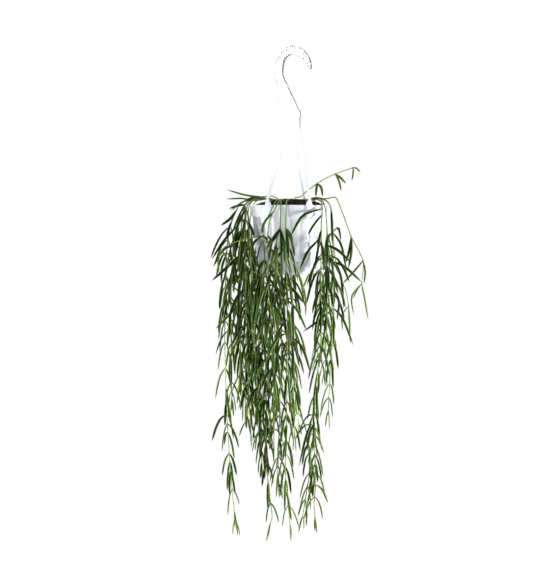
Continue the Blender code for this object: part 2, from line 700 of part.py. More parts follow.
def joint_distances(run, bare, draw):
    """Where a shoot's joints are: bare at first, then one each internode, and one at its growing tip."""
    places = []
    distance = bare
    while distance < run[-1] - 14.0:
        places.append(distance)
        distance += draw.uniform(*INTERNODE)
    places.append(run[-1])
    return places


def nearest(lines, point):
    """The place on some sampled lines nearest a point: the place, its line's number, and how far along."""
    best = None
    for number, line in enumerate(lines):
        run = travel(line)
        for k, (a, b) in enumerate(zip(line, line[1:])):
            share = min(max((point - a).dot(b - a) / max((b - a).length_squared, 1e-9), 0.0), 1.0)
            place = a.lerp(b, share)
            if best is None or (point - place).length < best[0]:
                best = ((point - place).length, place, number, run[k] + share * (run[k + 1] - run[k]))
    return best[1:]


def stem_lines(shoots):
    """A stem's shoots as sampled curves. The first rises straight out of its hole, the rest fork off it."""
    (_, ((x, y), *rest)), *others = shoots
    top = soil_height(math.hypot(x, y))
    rooted = [(x, y, top + rise) for rise in (-ROOT_DEPTH, -ROOT_DEPTH / 2, 0.0, 4.0)] + rest
    lines = [smooth_curve(rooted, 8)]
    for _, route in others:
        fork = nearest(lines[:1], Vector(route[0]))[0]
        lines.append(smooth_curve([fork, *route[1:]], 8))
    return lines


def show_leaves(crowd, owner, lines, table):
    """The table's leaves, each moved forward or back until it is free: [(shoot, distance, leaf), ...]."""
    placed = []
    for foot, middle, tip in table:
        foot, shoot, distance = nearest(lines, Vector(foot))
        joint = 1000 * (shoot + 1) + round(distance)
        for shift in (0, -4, 4, -8, 8, -12, 12, -16):
            bent = [foot, Vector(middle) + Vector((0, shift / 2, 0)), Vector(tip) + Vector((0, shift, 0))]
            spine = smooth_curve(bent, 2)
            free = all(clear_of_pot(point, 1.8) for point in spine[1:])
            if free and crowd.takes(spine, LEAF_RADII, owner, joint):
                crowd.add(spine, LEAF_RADII, owner, joint)
                placed.append((shoot, distance, (spine, Vector((0, -1, 0)))))
                break
    return placed


def spaced(joints):
    """The joints in order, without any that lies within 3 mm of the one before."""
    kept = []
    for joint in sorted(joints):
        if not kept or joint - kept[-1] > 3.0:
            kept.append(joint)
    return kept


def leaf_spine(base, heading, outward, length, pitch):
    """Five points down the middle of one leaf, which leaves the stem at a pitch and droops to a lower one."""
    points = [base]
    for k in range(4):
        lean = pitch * 1.75 / (1 + 0.8 * k)
        step = heading * math.cos(lean) + outward * math.sin(lean)
        points.append(points[-1] + step * (length / 4))
    return points


def leaf_pitch(last, draw):
    """How far a leaf leans off its stem: close at the tip, wide now and then, and else in between."""
    if last:
        return math.radians(draw.uniform(8, 13))
    return math.radians(draw.uniform(28, 44) if draw.random() < STRAYS else draw.uniform(11, 24))


def grow_leaves(crowd, owner, route, places, draw):
    """The leaves at these joints, in opposite pairs or threes that turn from joint to joint: a leaf is its
    spine and the direction that its broad side faces."""
    run = travel(route)
    phase = draw.uniform(0, math.pi)
    leaves = []
    for joint, distance in enumerate(places):
        base, ahead = along_route(route, run, distance)
        down = Vector((0, 0, -1)) if ahead.z < 0.3 else ahead
        heading = (ahead * 0.7 + down * 0.3).normalized()
        side = heading.cross(Vector((0.31, 0.95, 0.02))).normalized()
        front = heading.cross(side)
        phase += math.pi / 2 + draw.uniform(-0.35, 0.35)
        whorl = 3 if draw.random() < THREES else 2
        age = 1.0 - 0.3 * max(0.0, 2.0 * distance / run[-1] - 1.0)
        if distance == run[-1]:
            age = 0.5
        for leaf in range(whorl):
            for attempt in range(90):
                loose = attempt / 90
                turn = phase + math.tau * leaf / whorl + draw.uniform(-1, 1) * (0.2 + 1.3 * loose)
                outward = side * math.cos(turn) + front * math.sin(turn)
                pitch = leaf_pitch(distance == run[-1], draw)
                length = draw.uniform(*LEAF_LENGTH) * age * (1 - 0.35 * loose)
                spine = leaf_spine(base, heading, outward, length, pitch)
                if not all(clear_of_pot(point, 1.8) for point in spine[1:]):
                    continue
                if crowd.takes(spine, LEAF_RADII, owner, joint):
                    crowd.add(spine, LEAF_RADII, owner, joint)
                    roll = Matrix.Rotation(draw.uniform(-LEAF_ROLL, LEAF_ROLL), 3, heading)
                    leaves.append((spine, roll @ outward))
                    break
    return leaves


def grow_stem(crowd, owner, name, lines, shown):
    """What grows on each of a stem's shoots: [(line, first leafy distance, joints, leaves), ...]."""
    draw = random.Random(700 + owner)
    forks = [nearest(lines[:1], line[0])[2] for line in lines[1:]]
    shoots = []
    for number, (line, (bare, _)) in enumerate(zip(lines, STEMS[name])):
        run = travel(line)
        first = run[-1] if bare is None else bare + (0 if number else ROOT_DEPTH)
        places = [] if bare is None else joint_distances(run, first, draw)
        leaves = grow_leaves(crowd, owner, line, places, draw)
        leaves += [leaf for shoot, _, leaf in shown if shoot == number]
        joints = places + [distance for shoot, distance, _ in shown if shoot == number]
        joints += [0.0] if number else forks
        shoots.append((line, first, spaced(joints), leaves))
    return shoots


def grow_plant():
    """Every stem's shoots. The stems' lines come first, so that no leaf crosses one, and then the leaves
    of the table, so that the others keep clear of them."""
    crowd = Crowd()
    for line in strap_lines():
        crowd.add(line, [2.2, 2.2], -1, 0)
    lines, shown = {}, {}
    for owner, (name, shoots) in enumerate(STEMS.items()):
        lines[name] = stem_lines(shoots)
        for line in lines[name]:
            crowd.add(line[::4] + [line[-1]], [NODE_RADIUS] * ((len(line) + 3) // 4), owner, -1)
    for owner, name in enumerate(STEMS):
        shown[name] = show_leaves(crowd, owner, lines[name], SHOWN_LEAVES.get(name, []))
    return {name: grow_stem(crowd, owner, name, lines[name], shown[name]) for owner, name in enumerate(STEMS)}


def tube_rings(route, joints, bare):
    """Rings for a shoot: thick at its joints, thin between them, and close where its bare part bends."""
    run = travel(route)
    steps = max(1, round((bare - ROOT_DEPTH - 4.0) / BEND_STEP))
    thin = [0.0, run[-1]] + [bare - (bare - ROOT_DEPTH - 4.0) * k / steps for k in range(steps + 1)]
    marks = {joint: NODE_RADIUS for joint in joints}
    for distance in thin + [ROOT_DEPTH]:
        if all(abs(distance - mark) > 3.0 for mark in marks):
            marks[distance] = STEM_RADIUS
    rings = []
    side = Vector((0.8, 0.6, 0.0))
    for distance in sorted(marks):
        centre, ahead = along_route(route, run, distance)
        side = (side - ahead * side.dot(ahead)).normalized()
        other = ahead.cross(side)
        ring = []
        for k in range(STEM_SIDES):
            angle = math.tau * k / STEM_SIDES
            ring.append(at(centre + (side * math.cos(angle) + other * math.sin(angle)) * marks[distance]))
        rings.append(ring)
    return rings


def leaf_solid(spine, facing_way):
    """One narrow leaf with a keel, three-sided, its root sunk in the joint."""
    base, tip = spine[0], spine[-1]
    ahead = (tip - base).normalized()
    face = (facing_way - ahead * facing_way.dot(ahead)).normalized()
    across = ahead.cross(face)
    rings = []
    root = base - ahead * 0.15
    for centre, half, thick in ((root, 0.4, 0.6), (spine[2], LEAF_HALF_WIDTH, LEAF_THICKNESS)):
        keel, raised = face * thick * -0.6, face * thick * 0.4
        corners = (across * half + raised, keel, across * -half + raised)
        rings.append([at(centre + corner) for corner in corners])
    return new_object("leaf", loft(rings, None, at(tip)))


def make_plant(finish):
    """Each leafy stem as one solid: its shoots, with every leaf joined to them."""
    for name, shoots in grow_plant().items():
        parts = []
        for line, first, joints, leaves in shoots:
            tube = loft(tube_rings(line, joints, first), None, None)
            shoot = new_object("shoot" if parts else name, tube, finish)
            parts += [shoot] + [leaf_solid(spine, facing_way) for spine, facing_way in leaves]
        stem, *others = parts
        apply_boolean(stem, "UNION", gather("leaves", others))


def main():
    clear_scene()
    plastic = material("white_polypropylene", WHITE_PLASTIC)
    mix = material("potting_mix", DARK_MIX)
    green = material("leaf_green", LEAF_GREEN)
    make_hanger(plastic)
    make_pot(plastic)
    make_dish(plastic)
    make_soil(mix)
    make_plant(green)


main()
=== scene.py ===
"""A trailing wax plant in a white hanging pot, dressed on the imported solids.

Metres, +Z up. The origin is where the hook bears on what holds it, and front is -Y. Routes and heights
are in millimetres from the centre of the pot's rim, because a grower measures from there.
"""

import json
import math
import random
from functools import partial

import bmesh
import bpy
import numpy as np
from mathutils import Matrix, Vector, noise

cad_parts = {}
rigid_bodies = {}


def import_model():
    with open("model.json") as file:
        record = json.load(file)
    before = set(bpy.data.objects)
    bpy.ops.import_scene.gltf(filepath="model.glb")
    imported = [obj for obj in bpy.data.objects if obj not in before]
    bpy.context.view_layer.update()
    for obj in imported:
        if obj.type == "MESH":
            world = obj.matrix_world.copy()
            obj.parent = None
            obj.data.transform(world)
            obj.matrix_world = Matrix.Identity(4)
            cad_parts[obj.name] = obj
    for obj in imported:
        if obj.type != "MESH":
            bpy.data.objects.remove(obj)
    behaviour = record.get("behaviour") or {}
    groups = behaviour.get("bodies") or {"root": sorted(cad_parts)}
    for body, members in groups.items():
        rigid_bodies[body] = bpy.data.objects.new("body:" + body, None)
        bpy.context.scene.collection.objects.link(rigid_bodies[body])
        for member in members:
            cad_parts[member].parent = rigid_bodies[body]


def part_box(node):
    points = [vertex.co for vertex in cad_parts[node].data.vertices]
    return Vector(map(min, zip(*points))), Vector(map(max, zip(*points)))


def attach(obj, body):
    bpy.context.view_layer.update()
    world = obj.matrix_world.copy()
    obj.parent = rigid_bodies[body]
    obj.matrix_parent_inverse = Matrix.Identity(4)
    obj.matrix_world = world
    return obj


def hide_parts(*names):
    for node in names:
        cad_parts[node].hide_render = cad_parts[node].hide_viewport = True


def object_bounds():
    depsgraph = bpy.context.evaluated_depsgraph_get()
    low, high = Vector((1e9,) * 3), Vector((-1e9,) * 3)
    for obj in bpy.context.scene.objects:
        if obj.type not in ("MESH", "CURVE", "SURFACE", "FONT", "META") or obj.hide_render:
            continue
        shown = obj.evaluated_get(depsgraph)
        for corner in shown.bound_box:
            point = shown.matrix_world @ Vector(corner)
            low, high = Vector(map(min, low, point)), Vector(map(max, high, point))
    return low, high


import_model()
cad_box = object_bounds()

# The pot. A thin shell injection moulded in white polypropylene. A turned-down skirt stiffens its rim,
# shallow flutes stiffen its wall, and the wall steps in at a shoulder, where the drip dish clips on.
MM = 0.001
rim_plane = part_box("pot")[1].z
rim_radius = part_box("pot")[1].x / MM
pot_foot = (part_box("pot")[0].z - rim_plane) / MM
dish_top = (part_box("drip_dish")[1].z - rim_plane) / MM
CLEARANCE = 0.3
SKIRT_DEPTH = 21.0
WALL = 1.5
BODY_TOP_RADIUS = 71.5
BODY_FOOT_RADIUS = 62.0
SHOULDER_DEPTH = 104.6
FLUTES = 24
FLUTE_DEPTH = 0.8
FLUTE_STEPS = (0.0, 0.05, 0.14, 0.3, 0.5, 0.7, 0.86, 0.95)
DRAINS = 5
DRAIN_CIRCLE = 34.0
DRAIN_RADIUS = 4.0
DRAIN_START = 0.52


def from_rim(point):
    """Millimetres from the rim's centre to metres in the part's frame."""
    return Vector((point[0] * MM, point[1] * MM, rim_plane + point[2] * MM))


def around(radius, angle, height=0.0):
    """A point round the pot's axis. The angle starts at the front and goes to the right."""
    return radius * math.sin(angle), -radius * math.cos(angle), height


def linear(code):
    """A hex sRGB colour as linear light, with alpha."""
    channels = [int(code[i : i + 2], 16) / 255 for i in (1, 3, 5)]
    return (*[c / 12.92 if c <= 0.04045 else ((c + 0.055) / 1.055) ** 2.4 for c in channels], 1.0)


def set_up(tree, node, settings, links):
    """Sets a node's properties, or its inputs by name or number, and links others of its inputs."""
    for name, value in settings.items():
        if isinstance(name, str) and hasattr(node, name):
            setattr(node, name, value)
        else:
            node.inputs[name].default_value = value
    for name, socket in links.items():
        tree.links.new(node.inputs[name], socket)


def add_node(tree, kind, settings=None, links=None):
    """One node, with its settings and links filled in."""
    node = tree.nodes.new(kind)
    set_up(tree, node, settings or {}, links or {})
    return node


def new_material(name):
    """A material with only its output and its Principled shader, and the place on the piece."""
    made = bpy.data.materials.new(name)
    made.use_nodes = True
    tree = made.node_tree
    return made, tree, tree.nodes["Principled BSDF"], add_node(tree, "ShaderNodeTexCoord").outputs["Object"]


def mixed(tree, share, first, second):
    """A colour mix. Each side is a hex colour or a socket."""
    settings, links = {"data_type": "RGBA"}, {}
    for slot, side in ((6, first), (7, second)):
        if isinstance(side, str):
            settings[slot] = linear(side)
        else:
            links[slot] = side
    links[0] = share
    return add_node(tree, "ShaderNodeMix", settings, links).outputs[2]


def spread(tree, value, low, high, out_low=0.0, out_high=1.0):
    """Stretches a value from one range to another, and holds it there."""
    settings = {"From Min": low, "From Max": high, "To Min": out_low, "To Max": out_high}
    return add_node(tree, "ShaderNodeMapRange", settings, {"Value": value}).outputs["Result"]


def cloudy(tree, place, scale, detail=2.0):
    """A noise over a place."""
    settings = {"Scale": scale, "Detail": detail}
    return add_node(tree, "ShaderNodeTexNoise", settings, {"Vector": place}).outputs[0]


def bumped(tree, height, strength, distance):
    """A fine relief, this many metres deep."""
    settings = {"Strength": strength, "Distance": distance}
    return add_node(tree, "ShaderNodeBump", settings, {"Height": height}).outputs[0]


def white_polypropylene():
    """Polypropylene straight from a polished mould: a soft sheen, light that sinks in a little, and the
    faint grey of watering marks and handling."""
    made, tree, shader, place = new_material("white_polypropylene_moulded")
    clouds = cloudy(tree, place, 24.0, 4.0)
    stretched = add_node(tree, "ShaderNodeMapping", {"Scale": (1.0, 1.0, 0.18)}, {"Vector": place})
    runs = cloudy(tree, stretched.outputs[0], 150.0, 3.0)
    tone = mixed(tree, spread(tree, clouds, 0.35, 0.7), "#EBEEF5", "#DFE5EF")
    marks = spread(tree, runs, 0.62, 0.8, 0.0, 0.35)
    looks = {
        "Base Color": mixed(tree, marks, tone, "#CDD3DC"),
        "Roughness": spread(tree, clouds, 0.3, 0.7, 0.28, 0.4),
        "Normal": bumped(tree, cloudy(tree, place, 1400.0), 0.12, 0.0002),
    }
    inside = {"Subsurface Weight": 0.12, "Subsurface Scale": 0.002, "Subsurface Radius": (1.0, 1.0, 1.0)}
    set_up(tree, shader, {"IOR": 1.49, **inside}, looks)
    return made


def in_scene(name, data):
    """An object in the scene for a mesh, a lamp or a lens."""
    made = bpy.data.objects.new(name, data)
    bpy.context.collection.objects.link(made)
    return made


def keep_piece(name, mesh, finish, node):
    """Makes a finished mesh the piece that stands for a node. Without a finish it keeps its own."""
    mesh.name = name
    piece = in_scene(name, mesh)
    if finish:
        mesh.materials.clear()
        mesh.materials.append(finish)
    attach(piece, "root")
    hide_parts(node)


def rounded(profile, radius, steps=3):
    """A profile with each inner corner rounded. Points are (radius, height, flute share)."""
    points = [Vector(p) for p in profile]
    smooth = [points[0]]
    for before, corner, after in zip(points, points[1:], points[2:]):
        back, ahead = before - corner, after - corner
        reach = min(radius, back.length * 0.45, ahead.length * 0.45)
        a, b = corner + back.normalized() * reach, corner + ahead.normalized() * reach
        for k in range(steps + 1):
            t = k / steps
            smooth.append(a * (1 - t) ** 2 + corner * (2 * t * (1 - t)) + b * t**2)
    return smooth + [points[-1]]


def new_row(bm, points):
    """A row of corners at points given from the rim."""
    return [bm.verts.new(from_rim(point)) for point in points]


def skin(bm, rows):
    """Faces from each ring of points to the next."""
    count = len(rows[0])
    for row, following in zip(rows, rows[1:]):
        for i in range(count):
            j = (i + 1) % count
            bm.faces.new((row[i], row[j], following[j], following[i]))


def settled(bm, sharp=38.0):
    """A bmesh as a smooth-shaded mesh with its hard edges kept."""
    mesh = bpy.data.meshes.new("mesh")
    bm.to_mesh(mesh)
    bm.free()
    mesh.shade_smooth()
    mesh.set_sharp_from_angle(angle=math.radians(sharp))
    return mesh


def turned(profile, turns, sharp=38.0):
    """A turned mesh. turns are (angle, cut) pairs, and a point's flute share says how much cut it takes."""
    bm = bmesh.new()
    start = bm.verts.new(from_rim((0, 0, profile[0].y)))
    end = bm.verts.new(from_rim((0, 0, profile[-1].y)))
    rows = []
    for radius, height, share in profile[1:-1]:
        rows.append(new_row(bm, [around(radius - share * cut, angle, height) for angle, cut in turns]))
    skin(bm, rows)
    for row, pole in ((rows[0], start), (rows[-1], end)):
        for a, b in zip(row, row[1:] + row[:1]):
            bm.faces.new((a, b, pole))
    bmesh.ops.recalc_face_normals(bm, faces=bm.faces)
    return settled(bm, sharp)


def modified(carrier):
    """What an object's modifiers make of its mesh, as a plain mesh. The object goes."""
    graph = bpy.context.evaluated_depsgraph_get()
    made = bpy.data.meshes.new_from_object(carrier.evaluated_get(graph))
    bpy.data.objects.remove(carrier)
    return made


def combined(mesh, operation, others):
    """The mesh less a list of closed meshes, or joined with them."""
    body = in_scene("body", mesh)
    tools = bpy.data.collections.new("tools")
    bpy.context.scene.collection.children.link(tools)
    for other in others:
        tools.objects.link(bpy.data.objects.new("tool", other))
    boolean = body.modifiers.new("Boolean", "BOOLEAN")
    boolean.operation, boolean.solver = operation, "EXACT"
    boolean.operand_type, boolean.collection = "COLLECTION", tools
    result = modified(body)
    for used in tools.objects[:]:
        bpy.data.objects.remove(used)
    bpy.data.collections.remove(tools)
    return result


def drill(centre, radius, low, high):
    """An upright round cutter, in millimetres from the rim's centre."""
    bm = bmesh.new()
    size = {"radius1": radius * MM, "radius2": radius * MM, "depth": (high - low) * MM}
    bmesh.ops.create_cone(bm, cap_ends=True, segments=32, **size)
    bmesh.ops.translate(bm, vec=from_rim((*centre, (low + high) / 2)), verts=bm.verts)
    return settled(bm)


pot_profile = [
    (0, pot_foot + WALL, 0),
    (BODY_FOOT_RADIUS - 9.5, pot_foot + WALL, 0),
    (BODY_FOOT_RADIUS - 5.0, -SHOULDER_DEPTH + 0.6, 0),
    (BODY_FOOT_RADIUS - 1.4, -SHOULDER_DEPTH + 2.2, 0),
    (BODY_TOP_RADIUS - WALL, -22.0, 0),
    (BODY_TOP_RADIUS + 1.0, 0.0, 0),
    (rim_radius, 0.0, 0),
    (rim_radius, -SKIRT_DEPTH + 2.6, 0),
    (rim_radius, -SKIRT_DEPTH, 0),
    (rim_radius - 1.3, -SKIRT_DEPTH, 0),
    (rim_radius - 1.6, -2.4, 0),
    (BODY_TOP_RADIUS, -21.0, 0),
    (BODY_TOP_RADIUS - 0.6, -25.0, 1),
    (BODY_FOOT_RADIUS + 0.7, -SHOULDER_DEPTH + 5.0, 1),
    (BODY_FOOT_RADIUS, -SHOULDER_DEPTH + 1.0, 0.4),
    (BODY_FOOT_RADIUS - 0.8, -SHOULDER_DEPTH, 0),
    (BODY_FOOT_RADIUS - 3.4, -SHOULDER_DEPTH, 0),
    (BODY_FOOT_RADIUS - 5.6, -122.0, 0),
    (BODY_FOOT_RADIUS - 8.7, pot_foot, 0),
    (0, pot_foot, 0),
]
flute_turns = [
    (math.tau * (i + step) / FLUTES, FLUTE_DEPTH * abs(2 * step - 1) ** 2.4)
    for i in range(FLUTES)
    for step in FLUTE_STEPS
]
drain_places = [around(DRAIN_CIRCLE, math.tau * (i + DRAIN_START) / DRAINS)[:2] for i in range(DRAINS)]
drains = [drill(place, DRAIN_RADIUS, pot_foot - 3, pot_foot + 5) for place in drain_places]
plastic = white_polypropylene()
pot_mesh = combined(turned(rounded(pot_profile, 0.9), flute_turns, 30.0), "DIFFERENCE", drains)
keep_piece("fluted_pot", pot_mesh, plastic, "pot")

# The drip dish. A second white polypropylene moulding, pushed up over the pot's base until its edge
# stops under the shoulder. Three notches in the edge let a thumb spring it off.
DISH_RADIUS = 62.6
DISH_DEPTH = 128.0
DISH_SIDES = 144
NOTCH_ANGLES = (12.0, 132.0, 252.0)
NOTCH_SIZE = (5.0, 6.0, 4.4)


def block(size, centre, angle, edge=0.0):
    """A box of this size, turned about +Z, with its edges rounded where asked."""
    bm = bmesh.new()
    bmesh.ops.create_cube(bm, size=1.0)
    bmesh.ops.scale(bm, vec=Vector(size) * MM, verts=bm.verts)
    if edge:
        bmesh.ops.bevel(bm, geom=bm.edges[:], offset=edge * MM, segments=2, affect="EDGES")
    place = Matrix.Translation(from_rim(centre)) @ Matrix.Rotation(angle, 4, "Z")
    bmesh.ops.transform(bm, matrix=place, verts=bm.verts)
    return settled(bm)


dish_steps = [
    (7.8, pot_foot - CLEARANCE), (5.2, -124.2), (3.6, -119.5), (1.4, dish_top - 1.5), (1.1, dish_top),
    (0.1, dish_top), (0, dish_top - 1.8), (0.8, dish_top - 5.6), (2.1, -120.0), (4.0, -125.0),
    (6.2, -127.3), (9.0, -DISH_DEPTH), (11.0, -DISH_DEPTH), (11.6, -127.4),
]
dish_wall = [(DISH_RADIUS - inset, height, 0) for inset, height in dish_steps]
dish_profile = [(0, pot_foot - CLEARANCE, 0), *dish_wall, (0, -127.4, 0)]
notches = []
for turn in map(math.radians, NOTCH_ANGLES):
    notches.append(block(NOTCH_SIZE, around(DISH_RADIUS, turn, -SHOULDER_DEPTH), turn, 0.8))
round_turns = [(math.tau * i / DISH_SIDES, 0.0) for i in range(DISH_SIDES)]
dish_mesh = combined(turned(rounded(dish_profile, 0.5), round_turns), "DIFFERENCE", notches)
keep_piece("clip_on_dish", dish_mesh, plastic, "drip_dish")

# The hanger. One flat white polypropylene moulding: a hook with a thickened edge, a fan-shaped web, and
# three springy straps. Each strap ends in a clip that snaps over the skirt and hooks under it.
PLATE = 6.5
HOOK_TURN = math.radians(-30.0)
EYE_LEFT = 15.0
EYE_RIGHT = 30.0
EYE_HEIGHT = 24.0
EYE_STEPS = 16
EYE_START = 8
EYE_SWEEP = 172
BROKEN_EDGE = 0.5
EDGE_BEAD = 1.9
BEAD_STEP = 0.7
STRAP_WIDTH = 5.5
STRAP_THICKNESS = 2.0
CLIP_WIDTH = 12.0
CLIP_THICKNESS = 1.6
CLIP_FOOT = SKIRT_DEPTH + 2.4
CATCH_SIZE = (CLIP_WIDTH - 1, 5.0, 1.4)
STRAP_TOP_HEIGHT = 154.0
STRAP_ANGLES = {"left": -32.0, "right": 25.5, "rear": 155.0}
STRAP_TOPS = {"left": -10.5, "right": 18.0, "rear": 5.5}
STRAP_FALL = ((0.06, 0.05, -22), (0.30, 0.28, -56), (0.66, 0.64, -100))
STRAP_SAMPLES = 6
hook_to_rim = -rim_plane / MM


def smooth_curve(points, count):
    """A Catmull-Rom curve through the points, with this many samples a span."""
    points = [Vector(point) for point in points]
    padded = [2 * points[0] - points[1], *points, 2 * points[-1] - points[-2]]
    samples = []
    for a, b, c, d in zip(padded, padded[1:], padded[2:], padded[3:]):
        for k in range(count):
            t = k / count
            curve = 2 * b + (c - a) * t + (2 * a - 5 * b + 4 * c - d) * t**2 + (3 * b - a - 3 * c + d) * t**3
            samples.append(0.5 * curve)
    samples.append(points[-1])
    return samples


def hook_outline():
    """The flat hook and web square on, as (right, up) in millimetres from the rim's centre."""
    outer = [(-10, 140), (-14, 168), (-17, 190), (-24, 217), (-31, 246), (-27, 266), (-11, 285), (9, 291),
             (28, 281), (40, 265), (44, 250)]
    tip = [(43, 247), (41, 246), (36, 248)]
    eye = []
    for k in range(EYE_STEPS + 1):
        angle = math.radians(EYE_START + EYE_SWEEP * k / EYE_STEPS)
        wide = EYE_RIGHT if k < EYE_STEPS / 2 else EYE_LEFT
        eye.append((wide * math.cos(angle), hook_to_rim - EYE_HEIGHT * (1 - math.sin(angle))))
    shank = [(-15, 240), (-6, 222), (15, 182), (22.5, 167.5), (21, 158)]

    def bent(corners, count):
        return [(p.x, p.y) for p in smooth_curve([(x, z, 0) for x, z in corners], count)]

    return bent(outer, 5) + tip + eye + bent([eye[-1], *shank], 4)[1:] + [(21, 141), (5, 136)]


def strap_top(side):
    """Where a strap leaves the web, which is turned with the hook."""
    apart = STRAP_TOPS[side]
    return Vector((apart * math.cos(HOOK_TURN), apart * math.sin(HOOK_TURN), STRAP_TOP_HEIGHT))


def hook_plate():
    """The plate with its thickened edge, its corners broken."""
    bm = bmesh.new()
    front = bm.faces.new(new_row(bm, [(x, -PLATE / 2, z) for x, z in hook_outline()]))
    extruded = bmesh.ops.extrude_face_region(bm, geom=[front])
    moved = [v for v in extruded["geom"] if isinstance(v, bmesh.types.BMVert)]
    bmesh.ops.translate(bm, vec=Vector((0, PLATE * MM, 0)), verts=moved)
    bmesh.ops.recalc_face_normals(bm, faces=bm.faces)
    edges = [e for f in bm.faces if len(f.verts) > 4 for e in f.edges]
    bmesh.ops.bevel(bm, geom=edges, offset=BROKEN_EDGE * MM, segments=2, affect="EDGES")
    sides = [f for f in bm.faces if len(f.verts) > 8]
    bmesh.ops.inset_region(bm, faces=sides, thickness=EDGE_BEAD * MM, depth=0)
    bmesh.ops.inset_region(bm, faces=sides, thickness=BROKEN_EDGE * MM, depth=-BEAD_STEP * MM)
    bmesh.ops.rotate(bm, cent=(0, 0, 0), matrix=Matrix.Rotation(HOOK_TURN, 3, "Z"), verts=bm.verts)
    return settled(bm)


def strap(points, across, widths, thickness):
    """A flat strap with rounded edges along points, each with its own direction across the width."""
    bm = bmesh.new()
    rows = []
    corner = 0.45 * thickness
    for i, point in enumerate(points):
        ahead = points[min(i + 1, len(points) - 1)] - points[max(i - 1, 0)]
        side = across[i].normalized()
        face = ahead.normalized().cross(side).normalized()
        row = []
        for sx, sy, start in ((1, 1, 0), (-1, 1, 90), (-1, -1, 180), (1, -1, 270)):
            for turn in (0, 45, 90):
                angle = math.radians(start + turn)
                u = sx * (widths[i] / 2 - corner) + corner * math.cos(angle)
                v = sy * (thickness / 2 - corner) + corner * math.sin(angle)
                row.append(point + side * u + face * v)
        rows.append(new_row(bm, row))
    skin(bm, rows)
    bm.faces.new(rows[0])
    bm.faces.new(rows[-1])
    bmesh.ops.recalc_face_normals(bm, faces=bm.faces)
    return settled(bm)


def strap_and_clip(side, angle):
    """One strap, flat at the web and turned to face the rim at its foot, and the hook inside its clip."""
    turn = math.radians(angle)
    out = Vector(around(1, turn))
    along = Vector((math.cos(turn), math.sin(turn), 0))
    outside = rim_radius + CLEARANCE
    middle = out * (outside + CLIP_THICKNESS / 2)
    top = strap_top(side)
    foot = middle + Vector((0, 0, 12))
    lean = foot - top
    falling = [top + Vector((lean.x * x, lean.y * y, drop)) for x, y, drop in STRAP_FALL]
    clip = [middle + Vector((0, 0, 2)), middle + Vector((0, 0, -CLIP_FOOT))]
    points = smooth_curve([top, *falling, foot, *clip], STRAP_SAMPLES)
    start = (strap_top("right") - strap_top("left")) * math.copysign(1, along.x)
    across, widths = [], []
    for i in range(len(points)):
        place = i / STRAP_SAMPLES
        across.append(start.normalized().lerp(along, min(1.0, place / 3)))
        widths.append(STRAP_WIDTH + (CLIP_WIDTH - STRAP_WIDTH) * min(1.0, max(0.0, place - 3.9)) ** 1.5)
    spot = out * (outside - 1.2) + Vector((0, 0, -SKIRT_DEPTH - 1.0))
    catch = block(CATCH_SIZE, spot, turn + math.pi)
    return [strap(points, across, widths, STRAP_THICKNESS), catch]


straps = [mesh for side, angle in STRAP_ANGLES.items() for mesh in strap_and_clip(side, angle)]
hanger = combined(hook_plate(), "UNION", straps)
keep_piece("moulded_hanger", hanger, plastic, "hanger")

# The potting mix. Dark bark and peat, heaped a little over the rim where the stems were planted. The
# heap is one rough surface, and loose chips of bark lie on it.
SOIL_CROWN = 10.0
SOIL_FALL = 14.0
MOUND_RADIUS = 71.0
MOUND_RINGS = 30
MOUND_SIDES = 120
MIX_FOOT = -123.8
MIX_WALL = ((-22.0, 69.0), (-102.0, 59.5), (MIX_FOOT, 52.0))
LUMP_HEIGHT = 1.5


def soil_height(radius):
    """The mounded surface over a radius, from the rim's plane."""
    return SOIL_CROWN - SOIL_FALL * (radius / 70.0) ** 2.6


def bark_and_peat():
    """Moist composted bark: nearly black and dull, with browner chips where it has dried."""
    made, tree, shader, place = new_material("composted_bark_and_peat")
    clumps = cloudy(tree, place, 260.0, 6.0)
    dry = add_node(tree, "ShaderNodeTexVoronoi", {"Scale": 420.0}, {"Vector": place}).outputs["Distance"]
    tone = mixed(tree, spread(tree, clumps, 0.4, 0.68), "#15110E", "#33261C")
    dried = mixed(tree, spread(tree, dry, 0.0, 0.35, 0.35, 0.0), tone, "#4A3826")
    relief = bumped(tree, clumps, 0.7, 0.0012)
    set_up(tree, shader, {"Roughness": 0.92}, {"Base Color": dried, "Normal": relief})
    return made


def mound():
    """The heap's surface over the pot's mouth, and a plain skirt down inside the wall."""
    bm = bmesh.new()
    angles = [math.tau * k / MOUND_SIDES for k in range(MOUND_SIDES)]
    rows = []
    for ring in range(1, MOUND_RINGS + 1):
        radius = MOUND_RADIUS * ring / MOUND_RINGS
        row = []
        for x, y, _ in (around(radius, angle) for angle in angles):
            rough = noise.fractal(Vector((x, y, 3.0)) * 0.16, 0.9, 2.1, 4) * LUMP_HEIGHT
            height = soil_height(radius) + rough * min(1.0, (75 - radius) / 12)
            row.append((x, y, height))
        rows.append(new_row(bm, row))
    for low, width in MIX_WALL:
        rows.append(new_row(bm, [around(width, angle, low) for angle in angles]))
    top = bm.verts.new(from_rim((0, 0, SOIL_CROWN)))
    floor = bm.verts.new(from_rim((0, 0, MIX_FOOT)))
    skin(bm, rows)
    for k in range(MOUND_SIDES):
        j = (k + 1) % MOUND_SIDES
        bm.faces.new((rows[0][k], rows[0][j], top))
        bm.faces.new((rows[-1][k], rows[-1][j], floor))
    bmesh.ops.recalc_face_normals(bm, faces=bm.faces)
    return settled(bm, 80.0)


def new_tree(name, inputs):
    """A geometry tree with inputs, given as {name: (kind, value)}, and what adds a node to it."""
    tree = bpy.data.node_groups.new(name, "GeometryNodeTree")
    for label, (kind, value) in inputs.items():
        socket = tree.interface.new_socket(label, in_out="INPUT", socket_type=f"NodeSocket{kind}")
        if value is not None:
            socket.default_value = value
    tree.interface.new_socket("Geometry", in_out="OUTPUT", socket_type="NodeSocketGeometry")
    return tree, partial(add_node, tree)


